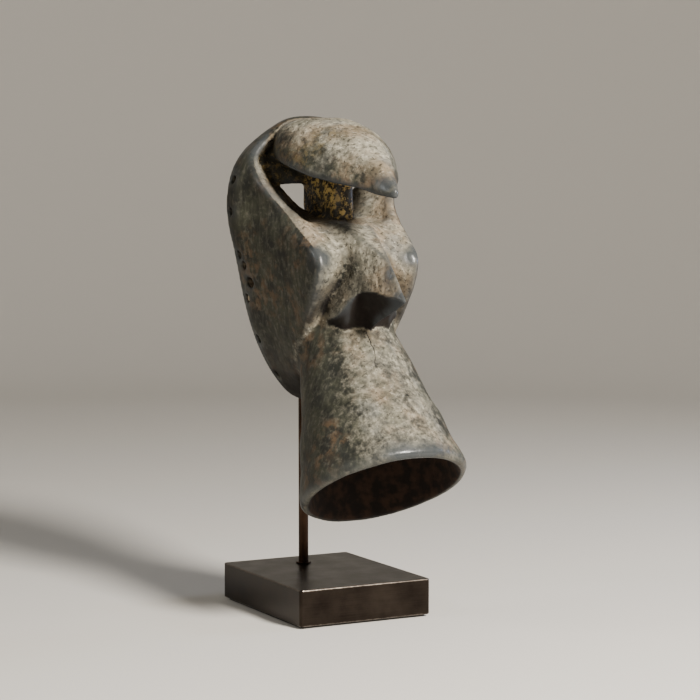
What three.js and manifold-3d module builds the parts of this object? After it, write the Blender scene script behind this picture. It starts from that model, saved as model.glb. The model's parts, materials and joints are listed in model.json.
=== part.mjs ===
// A carved wooden face mask with a visor forehead, a beak nose and a funnel mouth, held on a museum stand:
// a steel base, a tubular post, a stem that turns in the post, and an armature that lifts off the stem.
// Millimetres, +Z up. The mask faces -Y. The origin is the centre of the stand's underside.
import * as THREE from "three";
import { mergeVertices } from "three/addons/utils/BufferGeometryUtils.js";
import Module from "manifold-3d";

const wasm = await Module();
wasm.setup();

// ---------------------------------------------------------------- driving dimensions
const GAP = 0.3; // running or seating gap between neighbours
const ROUND = 18; // sides of a small round piece

// stand
const FELT_T = 1.5;
const FELT_INSET = 2.5;
const BASE_W = 100;
const BASE_D = 125;
const BASE_T = 25;
const BASE_CORNER_R = 1.6;
const BASE_EDGE = 0.9;
const POST_FROM_BACK = 29; // post axis to the base's back edge
const POST_D = 7;
const POST_TOP = 160; // height of the post's open end above the table
const POST_PLUG_L = 90; // solid lower end of the post, which the stem stands on
const POST_SEAT_D = 12; // how deep the post sits in the base
const RING_D = 11;
const RING_T = 0.9;
const BOLT_D = 4;
const BOLT_L = 16;
const BOLT_HEAD_D = 8.4;
const BOLT_HEAD_H = 3.6;
const WASHER_T = 0.8;
const COLLAR_D = 11;
const COLLAR_H = 10;
const GRUB_D = 3;

// armature
const STEM_D = 5;
const STEM_ABOVE_BLOCK = 6; // stem above the upper block's top
const BLOCK_W = 16;
const BLOCK_D = 13;
const BLOCK_H = 12;
const STOP_D = 10;
const STOP_H = 4;
const ARM_D = 6;
const ARM_L = 14;
const ARM_SCREW_D = 2;
const PRONG_D = 2.6;
const PRONG_BEND_R = 3;
const PRONG_IN_ARM = 7;
const PRONG_SHORT = 1.5; // the prong's tip stops this far inside the flank's outer face
const PRONG_TRAVEL = 9.5; // how far a prong draws back to free the mask
const SLEEVE_T = 0.6;
const STAY_D = 3;
const STAY_BLOCK_W = 12;
const STAY_BLOCK_H = 10;
const STAY_HEIGHT = 33; // the stay's height above the mask's chin edge
const PAD_D = 11;
const PAD_T = 2.5;

// mask, in its own frame: y = 0 is the back plane, z = 0 the lowest point of the back rim
const MASK_BEHIND = 6; // mask's back plane to the post axis
const MASK_Z = 145; // height of the back rim's lowest point above the table
const RIM_H = 201;
const RIM_HALF_W = 62.8;
const RIM_WIDEST_Z = 141;
const RIM_WALL = 9;
const TAPER = 0.0034; // share of its size that the outline loses for each millimetre forwards
const HOLLOW_DEPTH = 26;
const HOLLOW_MID_Z = 112;
const CHEEK_Y = -95;
const CHEEK_Z = 106;
const FACE_Y = -88; // the face between the cheekbones
const FIN_T = 9; // thickness of the flanks' front edges
const EYE_WALL_Y = -27; // front of the wall that the eyes are cut through
const EYE_FLOOR_Z = 126; // top of the cheeks, where the sockets begin
const VISOR_HALF_W = 40;
const VISOR_BACK_Y = -4;
const VISOR_WIDEST_Y = -46;
const VISOR_TIP_Y = -131;
const VISOR_TOP_Z = 198.5;
const VISOR_TIP_Z = 149;
const VISOR_RIM_BACK_Z = 178;
const VISOR_RIM_FRONT_Z = 144;
const BRIDGE_HALF_W = 11.5;
const BRIDGE_FRONT_HALF_W = 6.6;
const BRIDGE_Y = -59;
const NOSE_TOP_Y = -66;
const NOSE_TOP_Z = 126;
const NOSE_BULGE_Y = -122;
const NOSE_BULGE_Z = 102;
const NOSE_TIP_Y = -146;
const NOSE_TIP_Z = 77;
const NOSE_TIP_HALF_W = 3;
const NOSE_HALF_W = 21;
const NOSE_FOOT_Z = 57;
const EYE_TOP_Z = 166;
const EYE_LOW_Z = 132;
const EYE_BACK_W = 16;
const EYE_FLARE = 14; // how much wider an eye is in front than behind
const FUNNEL_Y = -116;
const FUNNEL_Z = -51;
const FUNNEL_TILT = 30; // degrees from the vertical
const FUNNEL_R = 57.5;
const FUNNEL_LIP = 6;
const FUNNEL_THROAT_R = 32.5;
const FUNNEL_L = 108;
const FUNNEL_WALL = 8;
const FUNNEL_BORE_L = 184; // mouth to the hollow behind
const LACE_D = 5.4;
const LACE_BIG_D = 7;
// lacing holes down each flank: distance in front of the back plane, height, diameter
const LACES = [
  [6.5, 156, LACE_D],
  [6.5, 134, LACE_D],
  [7, 104, LACE_D],
  [10.5, 97, LACE_D],
  [13.5, 85, LACE_BIG_D],
  [7, 74, LACE_D],
  [6.5, 45, LACE_D],
  [8.5, 20, LACE_D],
];
const PRONG_LACE = LACES[5]; // the hole that the prongs hold

// ---------------------------------------------------------------- worked out from those
const BASE_TOP = FELT_T + BASE_T;
const POST_Y = BASE_D / 2 - POST_FROM_BACK;
const POST_FOOT = BASE_TOP - POST_SEAT_D;
const COLLAR_SCREW_L = (COLLAR_D - POST_D) / 2 - 1.5 * GAP; // flush, so that the mask's chin can turn past it
const STEM_BORE = STEM_D + 2 * GAP;
const MASK_Y = POST_Y - MASK_BEHIND;
const BLOCK_Z = MASK_Z + PRONG_LACE[1];
const STAY_Z = MASK_Z + STAY_HEIGHT;
const STEM_FOOT = POST_FOOT + POST_PLUG_L + GAP;
const STEM_HEAD = BLOCK_Z + BLOCK_H / 2 + STEM_ABOVE_BLOCK;

// ---------------------------------------------------------------- materials
const paint = (color, roughness, metalness) => new THREE.MeshStandardMaterial({ color, roughness, metalness });
const wood = paint(0x7a7263, 0.72, 0);
const baseSteel = paint(0x3a3531, 0.38, 0.9);
const rodSteel = paint(0x2c2522, 0.45, 0.9);
const screwSteel = paint(0x55524e, 0.35, 1);
const felt = paint(0x1d1c1b, 0.95, 0);
const silicone = paint(0xcfc8b8, 0.55, 0);

// ---------------------------------------------------------------- solids
/** A closed geometry as a manifold-3d solid. */
function solid(geometry) {
  const bare = geometry.index ? geometry.toNonIndexed() : geometry.clone();
  bare.deleteAttribute("normal");
  bare.deleteAttribute("uv");
  const merged = mergeVertices(bare, 1e-4);
  return new wasm.Manifold(
    new wasm.Mesh({
      numProp: 3,
      vertProperties: new Float32Array(merged.attributes.position.array),
      triVerts: new Uint32Array(merged.index.array),
    }),
  );
}

/** A manifold-3d solid as a named mesh. */
function meshOf(name, body, material) {
  const m = body.getMesh();
  const places = new Float32Array(m.numVert * 3);
  for (let i = 0; i < m.numVert; i++) {
    places.set(m.vertProperties.subarray(i * m.numProp, i * m.numProp + 3), i * 3);
  }
  const geometry = new THREE.BufferGeometry();
  geometry.setAttribute("position", new THREE.BufferAttribute(places, 3));
  geometry.setIndex(new THREE.BufferAttribute(new Uint32Array(m.triVerts), 1));
  geometry.computeVertexNormals();
  const mesh = new THREE.Mesh(geometry, material);
  mesh.name = name;
  return mesh;
}

/** A closed solid through rings of points, which all have the same count, capped about their middles. */
function loft(rings) {
  const count = rings[0].length;
  const points = rings.flat();
  const faces = [];
  for (let r = 0; r + 1 < rings.length; r++) {
    for (let i = 0; i < count; i++) {
      const a = r * count + i;
      const b = r * count + ((i + 1) % count);
      faces.push(a, b, b + count, a, b + count, a + count);
    }
  }
  const middle = (ring) => ring.reduce((s, p) => s.add(p), new THREE.Vector3()).divideScalar(ring.length);
  const first = points.push(middle(rings[0])) - 1;
  const last = points.push(middle(rings[rings.length - 1])) - 1;
  const start = (rings.length - 1) * count;
  for (let i = 0; i < count; i++) {
    const next = (i + 1) % count;
    faces.push(first, next, i, last, start + i, start + next);
  }
  const geometry = new THREE.BufferGeometry().setFromPoints(points);
  geometry.setIndex(faces);
  const made = solid(geometry);
  if (made.volume() > 0) return made;
  geometry.setIndex(faces.reverse());
  return solid(geometry);
}

/** An upright cylinder from z0 to z1 at (x, y). */
function rod(diameter, z0, z1, x = 0, y = 0, sides = ROUND) {
  const g = new THREE.CylinderGeometry(diameter / 2, diameter / 2, z1 - z0, sides);
  g.rotateX(Math.PI / 2);
  g.translate(x, y, (z0 + z1) / 2);
  return solid(g);
}

/** A cylinder between two points. */
function bar(diameter, from, to, sides = ROUND) {
  const a = new THREE.Vector3(...from);
  const b = new THREE.Vector3(...to);
  const g = new THREE.CylinderGeometry(diameter / 2, diameter / 2, a.distanceTo(b), sides);
  const along = b.clone().sub(a).normalize();
  g.applyQuaternion(new THREE.Quaternion().setFromUnitVectors(new THREE.Vector3(0, 1, 0), along));
  const mid = a.add(b).multiplyScalar(0.5);
  g.translate(mid.x, mid.y, mid.z);
  return solid(g);
}

/** A box of that size about a point. */
function block(w, d, h, x = 0, y = 0, z = 0) {
  return solid(new THREE.BoxGeometry(w, d, h).translate(x, y, z));
}

/** A solid across the mask, from a side outline of [y, z] points. */
function sideways(outline, halfWidth) {
  const shape = new THREE.Shape(outline.map(([y, z]) => new THREE.Vector2(y, z)));
  const g = new THREE.ExtrudeGeometry(shape, { depth: 2 * halfWidth, bevelEnabled: false });
  g.translate(0, 0, -halfWidth);
  g.rotateX(Math.PI / 2);
  g.rotateZ(Math.PI / 2);
  return solid(g);
}

// ---------------------------------------------------------------- the mask
// Half of the back rim's outline, from the crown to the chin.
const rimCurve = new THREE.SplineCurve([
  new THREE.Vector2(0, RIM_H),
  new THREE.Vector2(18, RIM_H - 2.5),
  new THREE.Vector2(33, RIM_H - 11),
  new THREE.Vector2(44, RIM_H - 19),
  new THREE.Vector2(54, RIM_H - 30),
  new THREE.Vector2(60, RIM_H - 41.5),
  new THREE.Vector2(RIM_HALF_W, RIM_WIDEST_Z),
  new THREE.Vector2(61, 124),
  new THREE.Vector2(57, 105),
  new THREE.Vector2(50.8, 76),
  new THREE.Vector2(40.2, 42.5),
  new THREE.Vector2(23, 13.6),
  new THREE.Vector2(0, 0),
]);

/** The back rim's half-width at a height. */
function halfWidthAt(z) {
  const points = rimCurve.getSpacedPoints(200);
  return points.reduce((best, p) => (Math.abs(p.y - z) < Math.abs(best.y - z) ? p : best)).x;
}

/** The rim's closed outline, shrunk about (0, midZ) by a share and inwards by a wall. */
function rimRing(y, share, wall = 0, midZ = RIM_WIDEST_Z, steps = 18) {
  const half = rimCurve.getSpacedPoints(steps);
  const right = half.map((p) => [p.x, p.y]);
  const left = half.slice(1, -1).reverse().map((p) => [-p.x, p.y]);
  return [...right, ...left].map(([x, z]) => {
    const out = new THREE.Vector2(x, z - midZ);
    const r = out.length();
    out.multiplyScalar((share * Math.max(r - wall, 1)) / r);
    return new THREE.Vector3(out.x, y, midZ + out.y);
  });
}

/** How much the outline has shrunk at a distance in front of the back plane. */
const shrunk = (forwards) => 1 - TAPER * forwards;

/** The tapering body between the back plane and the cheekbones, inwards by a wall. */
function hull(wall = 0) {
  const rings = [];
  const reach = -CHEEK_Y + 10;
  for (const share of [0, 0.25, 0.5, 0.75, 1]) {
    rings.push(rimRing(-share * reach, shrunk(share * reach), wall));
  }
  return loft(rings);
}

/** The side outline of the flanks' front edges, which run from the crown out to the cheekbones and back to the jaw. */
const ridgeOutline = [
  [1, RIM_H + 8],
  [-7, RIM_H + 8],
  [-9, RIM_H - 2],
  [-17, 178],
  [-19, 168],
  [-38, 145],
  [-57, 129],
  [-76, 119],
  [CHEEK_Y + 3, CHEEK_Z + 4],
  [CHEEK_Y, CHEEK_Z - 5],
  [-89, 84],
  [-80, 68],
  [-66, 50],
  [-54, 36],
  [-34, -8],
  [1, -8],
];

/** The side outline of the face between the flanks: brow, bridge, cheeks and upper lip. */
const faceOutline = [
  [1, RIM_H + 8],
  [-5, RIM_H + 8],
  [-8, RIM_H - 4],
  [-15, 178],
  [EYE_WALL_Y, 168],
  [EYE_WALL_Y, EYE_FLOOR_Z + 6],
  [-34, EYE_FLOOR_Z + 1],
  [-60, EYE_FLOOR_Z - 1],
  [FACE_Y + 9, 115],
  [FACE_Y, 102],
  [FACE_Y + 1, 84],
  [-76, 66],
  [-61, 48],
  [-47, 30],
  [-30, -8],
  [1, -8],
];

/** The wearer's side: a bowl cut into the back, shallower towards its edge. */
function hollow() {
  const rings = [];
  rings.push(rimRing(6, 1, RIM_WALL, HOLLOW_MID_Z));
  for (const turn of [0, 20, 38, 54, 68, 80]) {
    const a = THREE.MathUtils.degToRad(turn);
    rings.push(rimRing(-HOLLOW_DEPTH * Math.sin(a), Math.cos(a), RIM_WALL, HOLLOW_MID_Z));
  }
  return loft(rings);
}

/** How far in front of the back plane the bowl's surface lies, on the middle line. */
function hollowDepthAt(z) {
  const share = Math.min(1, (HOLLOW_MID_Z - z) / (HOLLOW_MID_Z - RIM_WALL));
  return HOLLOW_DEPTH * Math.sqrt(1 - share * share);
}

// The visor seen from above, as half-widths, and from the side, as heights of its top.
const visorPlan = new THREE.SplineCurve([
  new THREE.Vector2(VISOR_BACK_Y, 0.78 * VISOR_HALF_W),
  new THREE.Vector2(-22, 0.93 * VISOR_HALF_W),
  new THREE.Vector2(VISOR_WIDEST_Y, VISOR_HALF_W),
  new THREE.Vector2(-77, 0.78 * VISOR_HALF_W),
  new THREE.Vector2(-103, 0.42 * VISOR_HALF_W),
  new THREE.Vector2(-123, 0.19 * VISOR_HALF_W),
  new THREE.Vector2(VISOR_TIP_Y, 0.05 * VISOR_HALF_W),
]);
const visorProfile = new THREE.SplineCurve([
  new THREE.Vector2(VISOR_BACK_Y, VISOR_TOP_Z - 1),
  new THREE.Vector2(-32, VISOR_TOP_Z),
  new THREE.Vector2(-60, VISOR_TOP_Z - 5),
  new THREE.Vector2(-88, VISOR_TOP_Z - 16),
  new THREE.Vector2(-112, VISOR_TOP_Z - 32),
  new THREE.Vector2(VISOR_TIP_Y, VISOR_TIP_Z),
]);

/** The height of the visor's sloping underside. */
function visorUnderZ(y) {
  const share = (y - VISOR_TIP_Y) / (VISOR_BACK_Y - VISOR_TIP_Y);
  return VISOR_RIM_FRONT_Z + share * (VISOR_RIM_BACK_Z - VISOR_RIM_FRONT_Z);
}

/** The domed forehead, which juts out as a pointed visor with a sloping underside. */
function visor(stations = 12, arc = 14) {
  const rings = [];
  for (let i = 0; i <= stations; i++) {
    const plan = visorPlan.getPoint(i / stations);
    const profile = visorProfile.getPoints(120);
    const top = profile.reduce((best, p) => (Math.abs(p.x - plan.x) < Math.abs(best.x - plan.x) ? p : best)).y;
    const under = visorUnderZ(plan.x);
    const ring = [];
    for (let k = 0; k <= arc; k++) {
      const a = (Math.PI * k) / arc;
      ring.push(new THREE.Vector3(plan.y * Math.cos(a), plan.x, under + (top - under) * Math.sin(a)));
    }
    rings.push(ring);
  }
  return loft(rings);
}

/** The column between the eyes, which stands under the visor and narrows forwards. */
function bridge() {
  const section = (z) => [
    new THREE.Vector3(BRIDGE_HALF_W, -HOLLOW_DEPTH * 0.3, z),
    new THREE.Vector3(BRIDGE_HALF_W, EYE_WALL_Y - 4, z),
    new THREE.Vector3(BRIDGE_FRONT_HALF_W, BRIDGE_Y, z),
    new THREE.Vector3(-BRIDGE_FRONT_HALF_W, BRIDGE_Y, z),
    new THREE.Vector3(-BRIDGE_HALF_W, EYE_WALL_Y - 4, z),
    new THREE.Vector3(-BRIDGE_HALF_W, -HOLLOW_DEPTH * 0.3, z),
  ];
  return loft([section(EYE_FLOOR_Z - 8), section(visorUnderZ(BRIDGE_Y) + 12)]);
}

/** The beak nose: it widens down from the bridge and bulges forwards, and a plane that rises to the tip cuts it off. */
function nose() {
  const level = (z, ridgeY, ridgeHalf, footY, footHalf) => [
    new THREE.Vector3(ridgeHalf, ridgeY, z),
    new THREE.Vector3(footHalf, footY, z),
    new THREE.Vector3(footHalf, footY + 30, z),
    new THREE.Vector3(-footHalf, footY + 30, z),
    new THREE.Vector3(-footHalf, footY, z),
    new THREE.Vector3(-ridgeHalf, ridgeY, z),
  ];
  const wedge = loft([
    level(NOSE_TOP_Z, NOSE_TOP_Y, BRIDGE_HALF_W, NOSE_TOP_Y + 8, BRIDGE_HALF_W + 3),
    level(NOSE_BULGE_Z, NOSE_BULGE_Y, NOSE_TIP_HALF_W + 2, FACE_Y - 1, NOSE_HALF_W - 4),
    level(NOSE_TIP_Z, NOSE_TIP_Y, NOSE_TIP_HALF_W, FACE_Y - 16, NOSE_HALF_W),
    level(NOSE_FOOT_Z - 4, NOSE_TIP_Y, NOSE_TIP_HALF_W, FACE_Y + 8, NOSE_HALF_W + 1),
  ]);
  const above = [
    [NOSE_TIP_Y - 5, NOSE_TIP_Z + 2],
    [NOSE_TIP_Y, NOSE_TIP_Z],
    [FACE_Y, NOSE_FOOT_Z],
    [FACE_Y + 40, NOSE_FOOT_Z - 3],
    [FACE_Y + 40, NOSE_TOP_Z + 5],
    [NOSE_TIP_Y - 5, NOSE_TOP_Z + 5],
  ];
  return wedge.intersect(sideways(above, 2 * NOSE_HALF_W));
}

/** An eye: a well with a sloping outer wall, cut through to the hollow beside the bridge. */
function eye(side) {
  const quad = (y, inner, outerTop, outerLow, top, low) =>
    [
      [inner, top],
      [outerTop, top],
      [outerLow, low],
      [inner, low],
    ].map(([x, z]) => new THREE.Vector3(side * x, y, z));
  const inner = BRIDGE_HALF_W;
  const outer = inner + EYE_BACK_W;
  return loft([
    quad(-HOLLOW_DEPTH * 0.1, inner, outer, inner + 2, EYE_TOP_Z, EYE_LOW_Z),
    quad(-HOLLOW_DEPTH * 0.6, inner, outer, inner + 3, EYE_TOP_Z, EYE_LOW_Z),
    quad(EYE_WALL_Y - 8, inner, outer + EYE_FLARE, inner + EYE_FLARE, EYE_TOP_Z, EYE_FLOOR_Z),
  ]);
}

/** A round solid about the funnel's axis, from [distance up the axis, radius] pairs; it starts and ends on the axis. */
function aboutFunnel(profile, sides) {
  const points = profile.map(([s, r]) => new THREE.Vector2(r, s));
  const g = new THREE.LatheGeometry(points, sides);
  g.rotateX(Math.PI / 2);
  g.rotateX(-THREE.MathUtils.degToRad(FUNNEL_TILT));
  g.translate(0, FUNNEL_Y, FUNNEL_Z);
  return solid(g);
}

const funnelOuter = () =>
  aboutFunnel(
    [
      [0, 0],
      [0, FUNNEL_R - 2.5],
      [2.5, FUNNEL_R],
      [25, FUNNEL_R - 5],
      [50, 45.5],
      [80, 38.5],
      [FUNNEL_L, FUNNEL_THROAT_R],
      [FUNNEL_L + 20, FUNNEL_THROAT_R - 3],
      [FUNNEL_L + 20, 0],
    ],
    32,
  );

const funnelBore = () =>
  aboutFunnel(
    [
      [-5, 0],
      [-5, FUNNEL_R - FUNNEL_LIP + 1],
      [4, FUNNEL_R - FUNNEL_LIP - 1.5],
      [50, 45.5 - FUNNEL_WALL],
      [FUNNEL_L, FUNNEL_THROAT_R - FUNNEL_WALL],
      [FUNNEL_BORE_L, 17],
      [FUNNEL_BORE_L, 0],
    ],
    28,
  );

/** One lacing hole straight through a flank. */
function lace(side, [forwards, z, diameter]) {
  return bar(diameter, [side * 12, -forwards, z], [side * (RIM_HALF_W + 20), -forwards, z], 14);
}

function carvedMask() {
  const body = hull();
  const flanks = body.subtract(hull(FIN_T)).intersect(sideways(ridgeOutline, RIM_HALF_W + 5));
  const face = body.intersect(sideways(faceOutline, RIM_HALF_W + 5));
  let wooden = flanks.add(face);
  for (const side of [-1, 1]) wooden = wooden.subtract(eye(side));
  wooden = wooden.add(visor()).add(bridge()).add(nose()).add(funnelOuter());
  wooden = wooden.subtract(block(200, 100, 500, 0, 50, 50));
  wooden = wooden.subtract(hollow()).subtract(funnelBore());
  for (const side of [-1, 1]) {
    for (const hole of LACES) wooden = wooden.subtract(lace(side, hole));
  }
  return wooden;
}

// ---------------------------------------------------------------- the stand
function basePlate() {
  const w = BASE_W / 2 - BASE_EDGE;
  const d = BASE_D / 2 - BASE_EDGE;
  const r = BASE_CORNER_R;
  const plan = new THREE.Shape();
  plan.moveTo(-w + r, -d);
  plan.lineTo(w - r, -d);
  plan.absarc(w - r, -d + r, r, -Math.PI / 2, 0);
  plan.lineTo(w, d - r);
  plan.absarc(w - r, d - r, r, 0, Math.PI / 2);
  plan.lineTo(-w + r, d);
  plan.absarc(-w + r, d - r, r, Math.PI / 2, Math.PI);
  plan.lineTo(-w, -d + r);
  plan.absarc(-w + r, -d + r, r, Math.PI, 1.5 * Math.PI);
  const slab = new THREE.ExtrudeGeometry(plan, {
    depth: BASE_T - 2 * BASE_EDGE,
    bevelEnabled: true,
    bevelSize: BASE_EDGE,
    bevelThickness: BASE_EDGE,
    bevelSegments: 2,
    curveSegments: 3,
  });
  slab.translate(0, 0, FELT_T + BASE_EDGE + GAP / 10);
  const step = POST_FOOT - GAP;
  const headSeat = FELT_T + BOLT_HEAD_H + WASHER_T + 3 * GAP;
  return solid(slab)
    .subtract(rod(POST_D + 2 * GAP, step, BASE_TOP + 5, 0, POST_Y))
    .subtract(rod(BOLT_D + 2 * GAP, FELT_T, step + 1, 0, POST_Y))
    .subtract(rod(BOLT_HEAD_D + 4 * GAP, 0, headSeat, 0, POST_Y));
}

function post() {
  const tube = rod(POST_D, POST_FOOT, POST_TOP, 0, POST_Y);
  const bore = rod(STEM_BORE, POST_FOOT + POST_PLUG_L, POST_TOP + 5, 0, POST_Y);
  const thread = rod(BOLT_D + 2 * GAP, POST_FOOT - 5, POST_FOOT + BOLT_L, 0, POST_Y);
  return tube.subtract(bore).subtract(thread);
}

const postRing = () =>
  rod(RING_D, BASE_TOP + GAP, BASE_TOP + GAP + RING_T, 0, POST_Y).subtract(
    rod(POST_D + 2 * GAP, BASE_TOP - 1, BASE_TOP + 5, 0, POST_Y),
  );

function postBolt() {
  const headFoot = FELT_T + GAP;
  const shank = rod(BOLT_D, headFoot, headFoot + BOLT_HEAD_H + BOLT_L, 0, POST_Y);
  const head = rod(BOLT_HEAD_D, headFoot, headFoot + BOLT_HEAD_H, 0, POST_Y);
  const key = rod(2.8, headFoot - 1, headFoot + 2, 0, POST_Y, 6);
  return shank.add(head).subtract(key);
}

function boltWasher() {
  const foot = FELT_T + BOLT_HEAD_H + 2 * GAP;
  return rod(BOLT_HEAD_D, foot, foot + WASHER_T, 0, POST_Y).subtract(
    rod(BOLT_D + 2 * GAP, foot - 1, foot + WASHER_T + 1, 0, POST_Y),
  );
}

/** The collar round the post's open end, split at the back by its grub screw's hole. */
function lockCollar() {
  const low = POST_TOP - COLLAR_H;
  const mid = POST_TOP - COLLAR_H / 2;
  return rod(COLLAR_D, low, POST_TOP, 0, POST_Y)
    .subtract(rod(POST_D + 2 * GAP, low - 1, POST_TOP + 1, 0, POST_Y))
    .subtract(bar(GRUB_D + 2 * GAP, [0, POST_Y, mid], [0, POST_Y + COLLAR_D, mid]));
}

/** A grub screw that points along -Y at an upright round piece: its tip stands a gap off that piece. */
function grubScrew(diameter, pieceR, length, y, z) {
  const tip = y + pieceR + GAP;
  const body = bar(diameter, [0, tip, z], [0, tip + length, z], 16);
  return body.subtract(bar(diameter * 0.45, [0, tip + 0.6 * length, z], [0, tip + length + 1, z], 6));
}

// ---------------------------------------------------------------- the armature
const stem = () => rod(STEM_D, STEM_FOOT, STEM_HEAD, 0, POST_Y);

/** The ring on the stem that the armature rests on. */
function stopRing() {
  const top = STAY_Z - STAY_BLOCK_H / 2 - GAP;
  return rod(STOP_D, top - STOP_H, top, 0, POST_Y).subtract(rod(STEM_BORE, top - STOP_H - 1, top + 1, 0, POST_Y));
}

/** A clamp block on the stem, with a bore for it and a tapped hole at the back. */
function clampBlock(w, d, h, z) {
  return block(w, d, h, 0, POST_Y, z)
    .subtract(rod(STEM_BORE, z - h, z + h, 0, POST_Y))
    .subtract(bar(GRUB_D + 2 * GAP, [0, POST_Y, z], [0, POST_Y + d, z]));
}

const PRONG_BORE = PRONG_D + 2 * GAP;
const ARM_FOOT_X = BLOCK_W / 2 + GAP;
const ARM_END_X = ARM_FOOT_X + ARM_L;
const ARM_SCREW_X = ARM_END_X - PRONG_IN_ARM / 2;
const PRONG_START_X = ARM_END_X - PRONG_IN_ARM;

/** The upper block, which also has room at each side for the prongs when they are drawn back. */
function upperBlock() {
  let made = clampBlock(BLOCK_W, BLOCK_D, BLOCK_H, BLOCK_Z);
  const deepest = PRONG_START_X - PRONG_TRAVEL - GAP;
  for (const side of [-1, 1]) {
    made = made.subtract(bar(PRONG_BORE, [side * deepest, POST_Y, BLOCK_Z], [side * BLOCK_W, POST_Y, BLOCK_Z]));
  }
  return made;
}

/** A tube that stands out sideways from the upper block and guides a prong. */
function sideArm(side) {
  const from = side * ARM_FOOT_X;
  const to = side * ARM_END_X;
  const screwX = side * ARM_SCREW_X;
  return bar(ARM_D, [from, POST_Y, BLOCK_Z], [to, POST_Y, BLOCK_Z])
    .subtract(bar(PRONG_BORE, [from - side, POST_Y, BLOCK_Z], [to + side, POST_Y, BLOCK_Z]))
    .subtract(bar(ARM_SCREW_D + 2 * GAP, [screwX, POST_Y, BLOCK_Z], [screwX, POST_Y + ARM_D, BLOCK_Z]));
}

/** The grub screw that holds a prong in its arm. */
function armScrew(side) {
  const x = side * ARM_SCREW_X;
  const tip = POST_Y + PRONG_D / 2 + GAP;
  return bar(ARM_SCREW_D, [x, tip, BLOCK_Z], [x, tip + 3.2, BLOCK_Z], 12).subtract(
    bar(0.45 * ARM_SCREW_D, [x, tip + 2.2, BLOCK_Z], [x, tip + 4, BLOCK_Z], 6),
  );
}

const PRONG_HOLE_Y = MASK_Y - PRONG_LACE[0];
const PRONG_TIP_X = halfWidthAt(PRONG_LACE[1]) * shrunk(PRONG_LACE[0]) - PRONG_SHORT;
const PRONG_JOG_X = ARM_END_X + PRONG_TRAVEL + PRONG_BEND_R + 2 * GAP;

/** A bent wire that runs out of its arm, jogs forwards and points outwards into a lacing hole. */
function prong(side) {
  const corner = (x, y) => new THREE.Vector3(side * x, y, BLOCK_Z);
  const r = PRONG_BEND_R;
  const path = new THREE.CurvePath();
  const turn = (a, b, c) => path.add(new THREE.QuadraticBezierCurve3(a, b, c));
  const line = (a, b) => path.add(new THREE.LineCurve3(a, b));
  line(corner(PRONG_START_X, POST_Y), corner(PRONG_JOG_X - r, POST_Y));
  turn(corner(PRONG_JOG_X - r, POST_Y), corner(PRONG_JOG_X, POST_Y), corner(PRONG_JOG_X, POST_Y - r));
  line(corner(PRONG_JOG_X, POST_Y - r), corner(PRONG_JOG_X, PRONG_HOLE_Y + r));
  turn(corner(PRONG_JOG_X, PRONG_HOLE_Y + r), corner(PRONG_JOG_X, PRONG_HOLE_Y), corner(PRONG_JOG_X + r, PRONG_HOLE_Y));
  line(corner(PRONG_JOG_X + r, PRONG_HOLE_Y), corner(PRONG_TIP_X, PRONG_HOLE_Y));
  const section = new THREE.Shape().absarc(0, 0, PRONG_D / 2, 0, 2 * Math.PI);
  return solid(new THREE.ExtrudeGeometry(section, { steps: 22, curveSegments: 4, extrudePath: path }));
}

/** The soft sleeve on a prong's tip, which keeps the steel off the wood. */
function prongSleeve(side) {
  const at = (x) => [side * x, PRONG_HOLE_Y, BLOCK_Z];
  const from = PRONG_JOG_X + PRONG_BEND_R + GAP;
  const outer = bar(PRONG_BORE + 2 * SLEEVE_T, at(from), at(PRONG_TIP_X + SLEEVE_T), 16);
  return outer.subtract(bar(PRONG_BORE, at(from - 1), at(PRONG_TIP_X + 2), 16));
}

// The bowl slopes, so the pad's lower edge is what nearly touches it.
const STAY_PAD_Y = MASK_Y - hollowDepthAt(STAY_HEIGHT - PAD_D / 2);

/** The wire that reaches forwards from the lower block and steadies the chin. */
const chinStay = () =>
  bar(STAY_D, [0, POST_Y - STAY_BLOCK_W / 2 - GAP, STAY_Z], [0, STAY_PAD_Y + PAD_T + 4 * GAP, STAY_Z]);

const stayPad = () =>
  bar(PAD_D, [0, STAY_PAD_Y + PAD_T + 3 * GAP, STAY_Z], [0, STAY_PAD_Y + 3 * GAP, STAY_Z], 20);

// ---------------------------------------------------------------- assembly
const group = new THREE.Group();
const stand = new THREE.Group();
const armature = new THREE.Group();
group.add(stand, armature);

stand.add(
  meshOf("base_felt", block(BASE_W - 2 * FELT_INSET, BASE_D - 2 * FELT_INSET, FELT_T, 0, 0, FELT_T / 2), felt),
  meshOf("base_plate", basePlate(), baseSteel),
  meshOf("post", post(), rodSteel),
  meshOf("post_ring", postRing(), rodSteel),
  meshOf("post_bolt", postBolt(), screwSteel),
  meshOf("bolt_washer", boltWasher(), screwSteel),
  meshOf("lock_collar", lockCollar(), rodSteel),
  meshOf("collar_screw", grubScrew(GRUB_D, POST_D / 2, COLLAR_SCREW_L, POST_Y, POST_TOP - COLLAR_H / 2), screwSteel),
);

armature.add(
  meshOf("stem", stem(), rodSteel),
  meshOf("stop_ring", stopRing(), rodSteel),
  meshOf("upper_block", upperBlock(), rodSteel),
  meshOf("upper_block_screw", grubScrew(GRUB_D, STEM_D / 2, 5.5, POST_Y, BLOCK_Z), screwSteel),
  meshOf("stay_block", clampBlock(STAY_BLOCK_W, STAY_BLOCK_W, STAY_BLOCK_H, STAY_Z), rodSteel),
  meshOf("stay_block_screw", grubScrew(GRUB_D, STEM_D / 2, 5, POST_Y, STAY_Z), screwSteel),
  meshOf("chin_stay", chinStay(), rodSteel),
  meshOf("stay_pad", stayPad(), felt),
);
for (const [side, hand] of [
  [-1, "right"],
  [1, "left"],
]) {
  armature.add(
    meshOf("side_arm_" + hand, sideArm(side), rodSteel),
    meshOf("arm_screw_" + hand, armScrew(side), screwSteel),
    meshOf("prong_" + hand, prong(side), rodSteel),
    meshOf("prong_sleeve_" + hand, prongSleeve(side), silicone),
  );
}

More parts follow.
